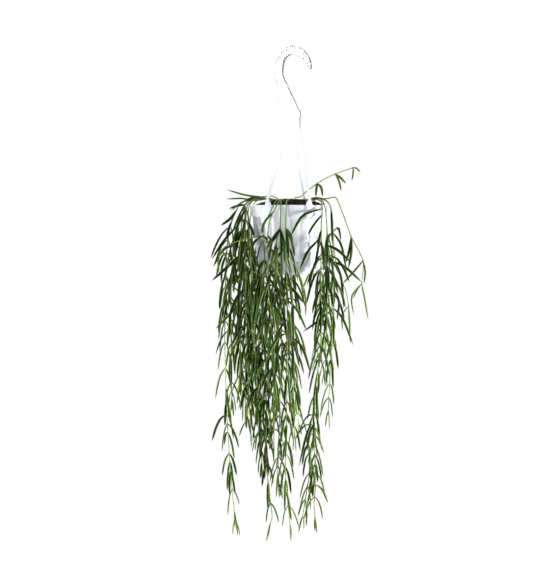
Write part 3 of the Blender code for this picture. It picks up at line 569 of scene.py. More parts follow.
def chips_tree(finish):
    """Loose chips over a surface: size and number are inputs, and the draw is seeded."""
    tree, add = new_tree(
        "loose chips",
        {
            "Surface": ("Geometry", None),
            "Chips per square metre": ("Float", 100000.0),
            "Smallest": ("Float", 0.0008),
            "Largest": ("Float", 0.0026),
            "Seed": ("Int", 5),
        },
    )
    given = add("NodeGroupInput").outputs

    def drawn(low, high):
        return add("FunctionNodeRandomValue", {"data_type": "FLOAT_VECTOR", 0: low, 1: high}).outputs[0]

    height = add("ShaderNodeSeparateXYZ", links={0: add("GeometryNodeInputPosition").outputs[0]}).outputs[2]
    above = add("FunctionNodeCompare", {"operation": "GREATER_THAN", 1: rim_plane - 0.008}, {0: height})
    spots = {"Mesh": given["Surface"], "Selection": above.outputs[0],
             "Density": given["Chips per square metre"], "Seed": given["Seed"]}
    points = add("GeometryNodeDistributePointsOnFaces", links=spots)
    sizes = {2: given["Smallest"], 3: given["Largest"], "Seed": given["Seed"]}
    size = add("FunctionNodeRandomValue", {"data_type": "FLOAT"}, sizes).outputs[1]
    flat = drawn((0.6, 0.5, 0.25), (1.3, 1.0, 0.7))
    scale = add("ShaderNodeVectorMath", {"operation": "SCALE"}, {0: flat, "Scale": size})
    tilt = drawn((-0.7, -0.7, 0.0), (0.7, 0.7, 6.28))
    chip = add("GeometryNodeMeshIcoSphere", {"Radius": 1.0, "Subdivisions": 1})
    chips = {"Points": points.outputs["Points"], "Instance": chip.outputs["Mesh"], "Rotation": tilt,
             "Scale": scale.outputs[0]}
    placed = add("GeometryNodeInstanceOnPoints", links=chips)
    real = add("GeometryNodeRealizeInstances", links={0: placed.outputs[0]})
    painted = add("GeometryNodeSetMaterial", {"Material": finish}, {"Geometry": real.outputs[0]})
    add("NodeGroupOutput", links={0: painted.outputs[0]})
    return tree


def grown(base, tree, inputs):
    """What a geometry tree makes of a mesh, as a plain mesh."""
    carrier = in_scene("carrier", base)
    modifier = carrier.modifiers.new("Nodes", "NODES")
    modifier.node_group = tree
    for item in tree.interface.items_tree:
        if item.in_out == "INPUT" and item.name in inputs:
            modifier[item.identifier] = inputs[item.name]
    return modified(carrier)


bark = bark_and_peat()
mound_mesh = mound()
keep_piece("mounded_mix", mound_mesh, bark, "potting_mix")
chip_mesh = grown(mound_mesh.copy(), chips_tree(bark), {"Seed": 5})
keep_piece("bark_chips", chip_mesh, None, "potting_mix")

# The plant. Slender, soft stems root in the mix, arch over the rim and hang straight down. At each
# joint they carry an opposite pair of narrow leaves, or now and then three, that arch down beside it.
HOLE_DEPTH = 14.0
ROOT_DEPTH = HOLE_DEPTH - CLEARANCE
STEM_RADIUS = 1.1875
STEM_STEP = 2.5
STRAP_RADIUS = 2.2
SPACED = 3.0
NODE_RADIUS = 1.7
NODE_SWELL = 0.5
NODE_LENGTH = 2.4
LEAF_LENGTH = (54.0, 74.0)
LEAF_HALF_WIDTH = 2.8
LEAF_RADII = (1.2, LEAF_HALF_WIDTH, LEAF_HALF_WIDTH, 1.5)
LEAF_REACH = 1.8
LEAF_TAPER = ((0.0, 0.45), (0.1, 0.72), (0.3, 0.95), (0.55, 1.0), (0.78, 0.9), (0.92, 0.6), (1.0, 0.16))
LEAF_GAP = 0.5
LEAF_ROLL = 1.1
LEAF_TRIES = 90
INTERNODE = (35.0, 54.0)
TIP_LENGTH = 14.0
THREES = 0.05
STRAYS = 0.12
DENSE_DOWN_TO = -540.0
WIDE_APART = 24.0
ADDED_SHARE = 0.75
INSIDE = 3.0
YOUNG_LENGTH = 200
PALE_SHARE = 0.08

# Each stem's shoots, the stem itself first: how far one is bare, or None where only leaves of the next
# table grow on it, and its route. Route points are (right, back, up) in millimetres from the rim's centre.
STEMS = {
    "stem_front_1": [
        (118, [(-18, -40), (-24, -62, 9), (-28, -77, 5), (-38, -80, -15), (-49, -74, -45), (-47, -72, -97),
               (-49, -68, -173), (-46, -64, -265), (-44, -61, -386), (-42, -58, -508), (-33, -55, -589),
               (-36, -54, -608)]),
        (None, [(-49, -74, -55), (-73, -84, -59), (-98, -88, -65), (-116, -88, -73), (-128, -87, -84)]),
        (30, [(-47, -72, -97), (-54, -71, -125), (-58, -67, -190), (-57, -63, -280), (-55, -60, -360),
              (-53, -58, -440), (-53, -57, -486)]),
    ],
    "stem_front_2": [
        (122, [(-12, -44), (-16, -64, 10), (-18, -79, 5), (-18, -84, -18), (-19, -85, -43), (-18, -83, -110),
               (-17, -79, -180), (-16, -76, -258), (-19, -72, -381), (-22, -68, -500), (-21, -67, -522)]),
        (30, [(-19, -85, -40), (-26, -85, -66), (-29, -82, -120), (-29, -79, -200), (-28, -75, -300),
              (-29, -72, -400), (-30, -70, -446)]),
    ],
    "stem_front_3": [
        (116, [(-3, -47), (-6, -66, 11), (-8, -80, 6), (-9, -87, -18), (-9, -88, -43), (-8, -87, -110),
               (-6, -85, -180), (-6, -83, -258), (-6, -80, -381), (-8, -77, -500), (-3, -75, -560),
               (1, -74, -600)]),
        (None, [(-8, -88, -80), (2, -92, -98), (10, -94, -112), (18, -94, -130), (23, -92, -146)]),
        (30, [(-8, -87, -100), (0, -85, -128), (4, -82, -180), (5, -79, -260), (6, -76, -340),
              (9, -73, -426)]),
    ],
    "stem_front_4": [
        (150, [(-17, -50), (-20, -66, 9), (-23, -79, 3), (-29, -85, -9), (-37, -88, -25), (-41, -89, -48),
               (-41, -88, -101), (-40, -87, -152), (-35, -84, -210), (-32, -82, -258), (-30, -80, -330),
               (-31, -78, -380)]),
    ],
    "stem_left_1": [
        (112, [(-38, 11), (-58, 13, 15), (-75, 14, 12), (-93, 15, 3), (-102, 14, -12), (-111, 13, -33),
               (-117, 12, -59), (-121, 10, -98), (-123, 9, -148), (-125, 7, -272), (-122, 6, -400),
               (-119, 5, -465), (-115, 5, -537), (-108, 5, -613), (-107, 5, -628)]),
    ],
    "stem_left_2": [
        (88, [(-38, 4), (-57, 4, 13), (-73, 3, 9), (-85, 1, 0), (-93, -3, -15), (-99, -7, -38),
              (-104, -10, -66), (-108, -13, -107), (-111, -15, -161), (-112, -17, -300), (-111, -18, -372)]),
    ],
    "stem_left_3": [
        (60, [(-38, -3), (-60, -7, 14), (-76, -12, 9), (-85, -18, -5), (-90, -23, -35), (-93, -27, -85),
              (-94, -31, -150), (-93, -34, -220), (-92, -36, -300), (-87, -38, -345), (-81, -39, -398)]),
    ],
    "stem_left_4": [
        (64, [(-36, -9), (-57, -20, 9), (-73, -27, 6), (-81, -31, -8), (-84, -37, -40), (-83, -43, -90),
              (-82, -46, -150), (-81, -48, -220), (-79, -50, -300), (-76, -52, -370), (-74, -52, -420)]),
        (78, [(-84, -37, -40), (-78, -43, -70), (-73, -44, -120), (-71, -43, -200), (-70, -42, -290),
              (-69, -42, -352)]),
    ],
    "stem_left_5": [
        (134, [(-34, -14), (-54, -24, 12), (-70, -34, 7), (-77, -40, -10), (-77, -46, -40), (-73, -52, -80),
              (-70, -55, -130), (-68, -57, -200), (-65, -58, -258), (-63, -58, -330), (-61, -58, -372)]),
        (34, [(-72, -53, -90), (-64, -51, -120), (-60, -46, -180), (-58, -42, -290), (-58, -42, -380),
              (-58, -42, -448)]),
    ],
    "stem_left_6": [
        (116, [(-36, 18), (-56, 25, 14), (-75, 32, 9), (-87, 37, -6), (-93, 40, -40), (-97, 41, -110),
              (-98, 40, -200), (-98, 39, -290), (-97, 38, -352)]),
    ],
    "stem_left_7": [
        (100, [(-30, 26), (-48, 39, 11), (-64, 51, 7), (-73, 58, -12), (-78, 61, -50), (-79, 60, -120),
              (-78, 58, -220), (-77, 56, -330), (-76, 56, -402)]),
    ],
    "stem_rear_1": [
        (106, [(-22, 36), (-36, 60, 9), (-45, 74, 4), (-52, 82, -20), (-55, 83, -60), (-55, 81, -140),
              (-54, 78, -250), (-53, 75, -360), (-53, 74, -432)]),
    ],
    "stem_rear_2": [
        (110, [(-10, 41), (-17, 66, 9), (-22, 80, 4), (-25, 88, -22), (-27, 88, -60), (-27, 85, -150),
              (-26, 81, -260), (-25, 78, -350), (-25, 77, -402)]),
    ],
    "stem_rear_3": [
        (114, [(2, 43), (4, 68, 10), (5, 82, 4), (7, 89, -22), (8, 90, -60), (8, 86, -150), (10, 82, -260),
              (15, 79, -350), (20, 77, -420), (24, 76, -452)]),
    ],
    "stem_right_1": [
        (118, [(30, -34), (43, -48, 13), (53, -58, 12), (57, -64, -2), (56, -65, -30), (56, -65, -60),
               (56, -64, -110), (56, -62, -180), (57, -61, -258), (54, -60, -290), (49, -59, -345),
               (48, -58, -381), (46, -57, -420), (49, -56, -482), (50, -55, -536), (48, -54, -570),
               (50, -54, -598)]),
        (22, [(48, -58, -370), (41, -62, -405), (36, -63, -440), (38, -62, -500), (32, -61, -549),
              (26, -60, -592)]),
    ],
    "stem_right_2": [
        (170, [(40, -17), (55, -24, 13), (67, -31, 8), (74, -36, -2), (77, -38, -18), (79, -39, -50),
               (80, -39, -83), (82, -39, -139), (83, -38, -192), (80, -36, -263), (78, -36, -320),
               (75, -35, -392)]),
    ],
    "stem_right_3": [
        (100, [(36, -28), (48, -39, 13), (58, -48, 8), (63, -54, -4), (65, -56, -20), (67, -57, -49),
               (68, -57, -100), (69, -56, -174), (69, -55, -236)]),
    ],
    "stem_right_4": [
        (None, [(46, -4), (58, -6, 11), (72, -8, 12), (86, -9, 14), (92, -10, 4), (101, -10, -18),
                (110, -10, -42), (117, -10, -60), (129, -10, -82), (140, -10, -105), (140, -10, -127),
                (138, -10, -149)]),
    ],
    "stem_right_5": [
        (None, [(42, 9), (61, 18, 11), (75, 23, 5), (82, 24, -14), (85, 24, -41), (87, 22, -77),
                (91, 16, -110), (99, 8, -138), (109, 2, -163), (114, -2, -188), (116, -3, -203)]),
    ],
    "stem_right_6": [
        (112, [(34, 24), (47, 35, 12), (59, 45, 9), (70, 51, -2), (74, 53, -22), (78, 54, -69),
              (78, 53, -150), (77, 51, -260), (76, 50, -332)]),
    ],
    "stem_right_7": [
        (116, [(26, 34), (42, 52, 10), (55, 63, 5), (62, 69, -18), (65, 70, -70), (64, 68, -160),
              (62, 65, -250), (61, 64, -302)]),
    ],
    "sprig_upright": [
        (None, [(10, -20), (21, -22, 16), (32, -22, 26), (49, -21, 38), (63, -20, 47), (84, -18, 57),
                (103, -15, 64), (118, -13, 69)]),
    ],
    "sprig_left": [
        (None, [(-24, -9), (-38, -7, 17), (-52, -13, 15), (-65, -16, 13), (-74, -18, 10)]),
    ],
}

# Leaves that show singly against the pot or the background: foot, middle and tip, in the same measure
SHOWN_LEAVES = {
    "stem_front_1": [
        [(-50, -77, -55), (-67, -84, -68), (-70, -82, -93)],
        [(-50, -77, -55), (-44, -82, -60), (-38, -83, -72)],
        [(-50, -74, -98), (-57, -80, -113), (-61, -78, -137)],
        [(-50, -74, -98), (-38, -80, -115), (-28, -78, -137)],
        [(-125, -87, -80), (-130, -88, -98), (-129, -84, -122)],
        [(-125, -87, -80), (-116, -88, -92), (-111, -86, -112)],
    ],
    "stem_front_2": [
        [(-20, -85, -41), (-34, -92, -64), (-40, -88, -101)],
        [(-20, -85, -41), (-17, -93, -65), (-17, -90, -94)],
        [(-20, -85, -41), (-28, -95, -57), (-42, -94, -74)],
        [(-20, -85, -41), (-12, -96, -70), (-11, -94, -103)],
        [(-19, -84, -84), (-24, -92, -92), (-31, -92, -104)],
        [(-18, -83, -105), (-25, -91, -115), (-32, -90, -130)],
    ],
    "stem_front_3": [
        [(-11, -88, -41), (-6, -96, -65), (-4, -92, -94)],
        [(-11, -88, -41), (1, -94, -62), (7, -89, -91)],
        [(-11, -88, -41), (0, -98, -54), (3, -97, -76)],
        [(-9, -88, -62), (3, -98, -88), (5, -96, -119)],
        [(23, -92, -146), (27, -94, -169), (27, -88, -199)],
        [(23, -92, -146), (27, -95, -135), (32, -94, -122)],
        [(10, -94, -112), (18, -98, -138), (24, -96, -168)],
        [(-7, -84, -140), (8, -93, -155), (23, -93, -174)],
        [(-7, -84, -170), (13, -90, -190), (29, -86, -226)],
    ],
    "stem_front_4": [
        [(-32, -85, -12), (-47, -90, -30), (-53, -86, -52)],
        [(-41, -90, -55), (-36, -95, -62), (-44, -95, -78)],
    ],
    "stem_left_1": [
        [(-101, 14, -10), (-114, 10, -27), (-131, 8, -39)],
        [(-110, 13, -31), (-116, 6, -46), (-121, 4, -65)],
        [(-121, 10, -94), (-129, 6, -117), (-131, 6, -150)],
    ],
    "stem_left_2": [
        [(-99, -7, -40), (-125, -14, -68), (-147, -10, -102)],
        [(-85, 1, 0), (-97, -6, -1), (-114, -8, -7)],
    ],
    "stem_left_3": [
        [(-93, -25, -93), (-119, -34, -117), (-146, -30, -141)],
        [(-94, -32, -182), (-114, -40, -205), (-139, -38, -231)],
    ],
    "stem_left_5": [
        [(-80, -42, -31), (-71, -50, -43), (-65, -52, -60)],
    ],
    "stem_right_1": [
        [(55, -64, -7), (21, -84, -19), (0, -92, -55)],
        [(55, -65, -18), (43, -76, -33), (31, -78, -53)],
        [(55, -65, -58), (31, -78, -83), (17, -76, -116)],
        [(55, -65, -45), (51, -72, -63), (49, -74, -88)],
    ],
    "stem_right_2": [
        [(76, -37, -9), (77, -46, -38), (78, -46, -70)],
        [(79, -39, -51), (72, -46, -57), (69, -46, -76)],
        [(79, -39, -51), (95, -42, -74), (106, -38, -124)],
        [(81, -39, -105), (102, -42, -114), (133, -36, -142)],
        [(83, -38, -193), (56, -52, -212), (25, -50, -235)],
        [(83, -38, -193), (100, -42, -212), (120, -38, -262)],
        [(82, -39, -158), (92, -42, -180), (88, -42, -214)],
    ],
    "stem_right_3": [
        [(68, -57, -73), (87, -60, -82), (112, -54, -105)],
        [(68, -57, -132), (67, -66, -155), (66, -64, -184)],
    ],
    "stem_right_4": [
        [(117, -10, -60), (113, -14, -85), (107, -12, -109)],
        [(117, -10, -60), (117, -16, -88), (112, -14, -119)],
        [(140, -10, -105), (123, -14, -125), (102, -12, -149)],
        [(140, -10, -105), (144, -14, -126), (142, -14, -149)],
        [(138, -10, -149), (119, -14, -174), (124, -12, -209)],
        [(138, -10, -149), (145, -12, -182), (152, -10, -219)],
        [(138, -10, -149), (130, -6, -162), (123, -4, -178)],
    ],
    "stem_right_5": [
        [(86, 23, -52), (95, 16, -44), (100, 12, -69)],
        [(91, 16, -110), (101, 6, -142), (106, 4, -198)],
        [(115, -2, -193), (102, -6, -212), (104, -4, -241)],
        [(115, -2, -193), (117, -6, -230), (119, -4, -267)],
    ],
    "sprig_upright": [
        [(51, -21, 39), (49, -24, 29), (48, -24, 16)],
        [(51, -21, 39), (58, -24, 32), (61, -24, 16)],
        [(84, -18, 57), (91, -20, 45), (96, -18, 26)],
        [(84, -18, 57), (94, -14, 51), (105, -12, 40)],
        [(118, -13, 69), (118, -15, 59), (116, -14, 45)],
        [(118, -13, 69), (124, -13, 68), (132, -12, 61)],
    ],
    "sprig_left": [
        [(-52, -14, 13), (-82, -20, 18), (-117, -20, 28)],
        [(-52, -14, 13), (-70, -22, 14), (-92, -33, 3)],
        [(-74, -18, 10), (-92, -27, 12), (-118, -27, 11)],
        [(-74, -18, 10), (-91, -20, 4), (-110, -18, -11)],
    ],
}


class Crowd:
    """The stems and leaves already placed, as thick line segments that a new leaf has to miss."""

    def __init__(self):
        self.starts = np.zeros((0, 3))
        self.ends = np.zeros((0, 3))
        self.radii = np.zeros(0)
        self.owners = np.zeros(0, int)
        self.joints = np.zeros(0, int)

    def add(self, points, radii, owner, joint):
        """Adds a chain of segments. joint is -1 for a stem, or its leaf's joint number."""
        points = np.array([tuple(point) for point in points])
        count = len(points) - 1
        self.starts = np.vstack([self.starts, points[:-1]])
        self.ends = np.vstack([self.ends, points[1:]])
        self.radii = np.append(self.radii, radii)
        self.owners = np.append(self.owners, [owner] * count)
        self.joints = np.append(self.joints, [joint] * count)

    def distances(self, start, end):
        """How near one segment comes to each segment in the crowd."""
        start, end = np.array(start), np.array(end)
        u, v, w = end - start, self.ends - self.starts, start - self.starts
        a, b, c = u @ u, v @ u, np.einsum("ij,ij->i", v, v)
        d, e = w @ u, np.einsum("ij,ij->i", v, w)
        bottom = np.maximum(a * c - b * b, 1e-9)
        s = np.clip((b * e - c * d) / bottom, 0, 1)
        t = np.clip((b * s + e) / np.maximum(c, 1e-9), 0, 1)
        s = np.clip((b * t - d) / max(a, 1e-9), 0, 1)
        gap = w + s[:, None] * u - t[:, None] * v
        return np.sqrt(np.einsum("ij,ij->i", gap, gap))

    def takes(self, points, radii, owner, joint):
        """Whether a leaf there keeps clear of every other leaf and stem."""
        for start, end, radius in zip(points, points[1:], radii):
            room = self.distances(start, end) - self.radii - radius
            mine = self.owners == owner
            near_joint = mine & ((self.joints == joint) | (self.joints == -1))
            if (room[~mine] < LEAF_GAP).any() or (room[mine & ~near_joint] < 0.1).any():
                return False
        return True


def clear_of_pot(point, radius):
    """Whether a round thing at a point keeps off the pot, the dish and the mix."""
    out, height = math.hypot(point[0], point[1]), point[2]
    reach = radius + LEAF_GAP
    if height > 1.0:
        over_rim = 66.0 < out < rim_radius + 1.0
        return height - reach > (1.0 if over_rim else soil_height(min(out, 72.0)) + 1.0)
    if height < -DISH_DEPTH - reach:
        return True
    if height < -SKIRT_DEPTH - 4.0:
        share = (-height - SKIRT_DEPTH) / (DISH_DEPTH - SKIRT_DEPTH)
        return out - reach > BODY_TOP_RADIUS + (DISH_RADIUS - BODY_TOP_RADIUS) * min(1.0, share) + 2.5
    return out - reach > rim_radius


def strap_lines():
    """The three straps and their clips, as thick lines for the leaves to miss."""
    lines = []
    for side, angle in STRAP_ANGLES.items():
        turn = math.radians(angle)
        for apart in (-5.0, 0.0, 5.0):
            out = Vector(around(1, turn)) * (rim_radius + 1.1)
            out += Vector((math.cos(turn), math.sin(turn), 0)) * apart
            foot = out + Vector((0, 0, 4))
            lines.append([strap_top(side), foot, out - Vector((0, 0, 24))])
    return lines


def travel(route):
    """Distances along a sampled route."""
    run = [0.0]
    for a, b in zip(route, route[1:]):
        run.append(run[-1] + (b - a).length)
    return run


def along_route(route, run, distance):
    """The point and the direction at a distance along a sampled route."""
    distance = min(max(distance, 0.0), run[-1])
    k = 1
    while k < len(run) - 1 and run[k] < distance:
        k += 1
    step = (distance - run[k - 1]) / max(run[k] - run[k - 1], 1e-9)
    return route[k - 1].lerp(route[k], step), (route[k] - route[k - 1]).normalized()


def joint_distances(run, bare, draw):
    """Where a shoot's joints are: bare at first, then one each internode, and one at its growing tip."""
    places = []
    distance = bare
    while distance < run[-1] - TIP_LENGTH:
        places.append(distance)
        distance += draw.uniform(*INTERNODE)
    places.append(run[-1])
    return places


def nearest(lines, point):
    """The place on some sampled lines nearest a point: the place, its line's number, and how far along."""
    best = None
    for number, line in enumerate(lines):
        run = travel(line)
        for k, (a, b) in enumerate(zip(line, line[1:])):
            share = min(max((point - a).dot(b - a) / max((b - a).length_squared, 1e-9), 0.0), 1.0)
            place = a.lerp(b, share)
            if best is None or (point - place).length < best[0]:
                best = ((point - place).length, place, number, run[k] + share * (run[k + 1] - run[k]))
    return best[1:]


def stem_lines(shoots):
    """A stem's shoots as sampled curves. The first rises straight out of its hole; the rest fork off it."""
    (_, ((x, y), *rest)), *others = shoots
    top = soil_height(math.hypot(x, y))
    rooted = [(x, y, top + rise) for rise in (-ROOT_DEPTH, -ROOT_DEPTH / 2, 0.0, 4.0)] + rest
    lines = [smooth_curve(rooted, 8)]
    for _, route in others:
        fork = nearest(lines[:1], Vector(route[0]))[0]
        lines.append(smooth_curve([fork, *route[1:]], 8))
    return lines


def show_leaves(crowd, owner, lines, table):
    """The table's leaves, each moved forward or back until it is free: [(shoot, distance, leaf), ...]."""
    placed = []
    for foot, middle, tip in table:
        foot, shoot, distance = nearest(lines, Vector(foot))
        joint = 1000 * (shoot + 1) + round(distance)
        for shift in (0, -4, 4, -8, 8, -12, 12, -16):
            bent = [foot, Vector(middle) + Vector((0, shift / 2, 0)), Vector(tip) + Vector((0, shift, 0))]
            spine = smooth_curve(bent, 2)
            free = all(clear_of_pot(point, LEAF_REACH) for point in spine[1:])
            if free and crowd.takes(spine, LEAF_RADII, owner, joint):
                crowd.add(spine, LEAF_RADII, owner, joint)
                placed.append((shoot, distance, (spine, Vector((0, -1, 0)))))
                break
    return placed


def spaced(joints):
    """The joints in order, without any that crowds the one before."""
    kept = []
    for joint in sorted(joints):
        if not kept or joint - kept[-1] > SPACED:
            kept.append(joint)
    return kept


def leaf_spine(base, heading, outward, length, pitch):
    """Five points down the middle of one leaf, which leaves the stem at a pitch and droops to a lower one."""
    points = [base]
    for k in range(4):
        lean = pitch * 1.75 / (1 + 0.8 * k)
        step = heading * math.cos(lean) + outward * math.sin(lean)
        points.append(points[-1] + step * (length / 4))
    return points


def leaf_pitch(last, draw):
    """How far a leaf leans off its stem: close at the tip, wide now and then, and else in between."""
    if last:
        return math.radians(draw.uniform(8, 13))
    return math.radians(draw.uniform(28, 44) if draw.random() < STRAYS else draw.uniform(11, 24))


def grow_leaves(crowd, owner, route, places, draw):
    """The leaves at these joints, in opposite pairs or threes that turn from joint to joint: a leaf is its
    spine and the direction that its broad side faces."""
    run = travel(route)
    phase = draw.uniform(0, math.pi)
    leaves = []
    for joint, distance in enumerate(places):
        base, ahead = along_route(route, run, distance)
        down = Vector((0, 0, -1)) if ahead.z < 0.3 else ahead
        heading = (ahead * 0.7 + down * 0.3).normalized()
        side = heading.cross(Vector((0.31, 0.95, 0.02))).normalized()
        front = heading.cross(side)
        phase += math.pi / 2 + draw.uniform(-0.35, 0.35)
        whorl = 3 if draw.random() < THREES else 2
        age = 1.0 - 0.3 * max(0.0, 2.0 * distance / run[-1] - 1.0)
        if distance == run[-1]:
            age = 0.5
        for leaf in range(whorl):
            for attempt in range(LEAF_TRIES):
                loose = attempt / LEAF_TRIES
                turn = phase + math.tau * leaf / whorl + draw.uniform(-1, 1) * (0.2 + 1.3 * loose)
                outward = side * math.cos(turn) + front * math.sin(turn)
                pitch = leaf_pitch(distance == run[-1], draw)
                length = draw.uniform(*LEAF_LENGTH) * age * (1 - 0.35 * loose)
                spine = leaf_spine(base, heading, outward, length, pitch)
                if not all(clear_of_pot(point, LEAF_REACH) for point in spine[1:]):
                    continue
                if crowd.takes(spine, LEAF_RADII, owner, joint):
                    crowd.add(spine, LEAF_RADII, owner, joint)
                    roll = Matrix.Rotation(draw.uniform(-LEAF_ROLL, LEAF_ROLL), 3, heading)
                    leaves.append((spine, roll @ outward))
                    break
    return leaves


def grow_stem(crowd, owner, name, lines, shown):
    """What grows on a stem's shoots: [(line, where it is first leafy, its joints, its leaves), ...]."""
    draw = random.Random(700 + owner)
    forks = [nearest(lines[:1], line[0])[2] for line in lines[1:]]
    shoots = []
    for number, (line, (bare, _)) in enumerate(zip(lines, STEMS[name])):
        run = travel(line)
        first = run[-1] if bare is None else bare + (0 if number else ROOT_DEPTH)
        places = [] if bare is None else joint_distances(run, first, draw)
        leaves = grow_leaves(crowd, owner, line, places, draw)
        leaves += [leaf for shoot, _, leaf in shown if shoot == number]
        joints = places + [distance for shoot, distance, _ in shown if shoot == number]
        joints += [0.0] if number else forks
        shoots.append((line, first, spaced(joints), leaves))
    return shoots


def grow_plant():
    """Every stem's shoots. The stems' lines come first, so that no leaf crosses one, and then the leaves
    of the table, so that the others keep clear of them."""
    crowd = Crowd()
    for line in strap_lines():
        crowd.add(line, [STRAP_RADIUS] * 2, -1, 0)
    lines, shown = {}, {}
    for owner, (name, shoots) in enumerate(STEMS.items()):
        lines[name] = stem_lines(shoots)
        for line in lines[name]:
            crowd.add(line[::4] + [line[-1]], [NODE_RADIUS] * ((len(line) + 3) // 4), owner, -1)
    for owner, name in enumerate(STEMS):
        shown[name] = show_leaves(crowd, owner, lines[name], SHOWN_LEAVES.get(name, []))
    plant = {}
    for owner, name in enumerate(STEMS):
        plant[name] = grow_stem(crowd, owner, name, lines[name], shown[name])
    fill_in(crowd, plant)
    return plant


def inside_solids(spine):
    """Whether an added leaf stays in the box of the solids."""
    margin = Vector((INSIDE * MM, INSIDE * MM, 0))
    low, high = cad_box[0] + margin, cad_box[1] - margin
    return all(low.x < point.x < high.x and low.y < point.y < high.y for point in map(from_rim, spine))


def fill_in(crowd, plant):
    """Leaves between the joints of the solids, only where the plant is dense, so that it closes up there.
    Each list of leaves and joints is added to in place."""
    for owner, shoots in enumerate(plant.values()):
        draw = random.Random(900 + owner)
        for line, first, joints, leaves in shoots:
            leafy = [joint for joint in joints if joint >= first]
            gaps = [(a, b) for a, b in zip(leafy, leafy[1:]) if b - a > WIDE_APART]
            between = [(a + b) / 2 for a, b in gaps if draw.random() < ADDED_SHARE]
            run = travel(line)
            between = [place for place in between if along_route(line, run, place)[0].z > DENSE_DOWN_TO]
            added = grow_leaves(crowd, owner, line, between, draw)
            leaves += [(spine, outward) for spine, outward in added if inside_solids(spine)]
            joints += between
            joints.sort()


def leaf_section():
    """A leaf's cross-section, one unit to each side: a shallow channel above and a rounded keel below."""
    outline = [(1.0, 0.0), (0.62, 0.4), (0.0, 0.22), (-0.62, 0.4), (-1.0, 0.0), (-0.7, -0.5), (0.0, -0.75),
               (0.7, -0.5)]
    sides = len(outline)
    mesh = bpy.data.meshes.new("leaf section")
    mesh.from_pydata([(x, y, 0) for x, y in outline], [(i, (i + 1) % sides) for i in range(sides)], [])
    across = mesh.attributes.new("across", "FLOAT", "POINT")
    across.data.foreach_set("value", [x for x, _ in outline])
    return in_scene("leaf section", mesh)


def leafy_tree(leaf_finish, stem_finish):
    """Leaves and stems swept along a node's lines. A line carries its width, its facing and its place."""
    tree, add = new_tree(
        "leafy stem",
        {
            "Lines": ("Geometry", None),
            "Leaf section": ("Object", None),
            "Rings a leaf": ("Int", 8),
            "Stem sides": ("Int", 8),
        },
    )
    given = add("NodeGroupInput").outputs

    def named(kind, name):
        return add("GeometryNodeInputNamedAttribute", {"data_type": kind, "Name": name}).outputs[0]

    def lines_where(chosen):
        return add("GeometryNodeMeshToCurve", links={"Mesh": given["Lines"], "Selection": chosen}).outputs[0]

    def swept(lines, profile, width):
        links = {"Curve": lines, "Profile Curve": profile.outputs[0], "Scale": width}
        return add("GeometryNodeCurveToMesh", {"Fill Caps": True}, links).outputs[0]

    on_stem = named("BOOLEAN", "on_stem")
    on_leaf = add("FunctionNodeBooleanMath", {"operation": "NOT"}, {0: on_stem}).outputs[0]
    section = add("GeometryNodeObjectInfo", links={"Object": given["Leaf section"]})
    profile = add("GeometryNodeMeshToCurve", links={"Mesh": section.outputs["Geometry"]})
    bent = add("GeometryNodeCurveSplineType", {"spline_type": "CATMULL_ROM"}, {0: lines_where(on_leaf)})
    rings = {0: bent.outputs[0], "Count": given["Rings a leaf"]}
    even = add("GeometryNodeResampleCurve", {"mode": "COUNT"}, rings)
    facing = {0: even.outputs[0], "Normal": named("FLOAT_VECTOR", "facing")}
    turned_lines = add("GeometryNodeSetCurveNormal", {"mode": "FREE"}, facing)
    taper = add("ShaderNodeFloatCurve", links={"Value": named("FLOAT", "along")})
    marks = taper.mapping.curves[0].points
    marks[0].location = LEAF_TAPER[0]
    for place, share in LEAF_TAPER[1:-1]:
        marks.new(place, share)
    marks[len(marks) - 1].location = LEAF_TAPER[-1]
    taper.mapping.update()
    factors = {0: taper.outputs[0], 1: named("FLOAT", "width")}
    width = add("ShaderNodeMath", {"operation": "MULTIPLY"}, factors).outputs[0]
    ring = add("GeometryNodeCurvePrimitiveCircle", {"Radius": 1.0}, {"Resolution": given["Stem sides"]})
    both = add("GeometryNodeJoinGeometry", links={0: swept(turned_lines.outputs[0], profile, width)})
    tree.links.new(both.inputs[0], swept(lines_where(on_stem), ring, named("FLOAT", "width")))
    smooth = add("GeometryNodeSetShadeSmooth", links={0: both.outputs[0]})
    real = add("GeometryNodeRealizeInstances", links={0: smooth.outputs[0]})
    leafy = add("GeometryNodeSetMaterial", {"Material": leaf_finish}, {0: real.outputs[0]})
    stemmy = {0: leafy.outputs[0], "Selection": on_stem}
    painted = add("GeometryNodeSetMaterial", {"Material": stem_finish}, stemmy)
    add("NodeGroupOutput", links={0: painted.outputs[0]})
    return tree


def leaf_cuticle():
    """A waxy leaf: dark green with a soft shine, with a painted highlight that lightens both edges, paler
    at its foot, and yellower while it is young."""
    made, tree, shader, place = new_material("waxy_leaf")

    def named(name):
        return add_node(tree, "ShaderNodeAttribute", {"attribute_name": name}).outputs["Fac"]

    blotches = cloudy(tree, place, 90.0, 3.0)
    deep = mixed(tree, named("tone"), "#071801", "#28490A")
    patchy = mixed(tree, spread(tree, blotches, 0.35, 0.7, 0.0, 0.5), deep, "#30560C")
    fresh = mixed(tree, named("youth"), patchy, "#6E8A2A")
    # Painted highlight: both edges of every leaf are mixed towards a pale yellow-green, as if a side light
    # caught them.
    side = add_node(tree, "ShaderNodeMath", {"operation": "ABSOLUTE"}, {0: named("across")}).outputs[0]
    painted_edge_highlight = mixed(tree, spread(tree, side, 0.8, 1.0, 0.0, 0.8), fresh, "#84983A")
    looks = {
        "Base Color": mixed(tree, spread(tree, named("along"), 0.0, 0.1, 0.55, 0.0), painted_edge_highlight, "#93A558"),
        "Roughness": spread(tree, blotches, 0.3, 0.7, 0.42, 0.56),
        "Normal": bumped(tree, cloudy(tree, place, 900.0), 0.25, 0.0002),
    }
    inside = {"Subsurface Weight": 0.06, "Subsurface Scale": 0.0008, "Subsurface Radius": (0.5, 1.0, 0.2)}
    set_up(tree, shader, {"IOR": 1.45, "Specular IOR Level": 0.2, **inside}, looks)
    return made


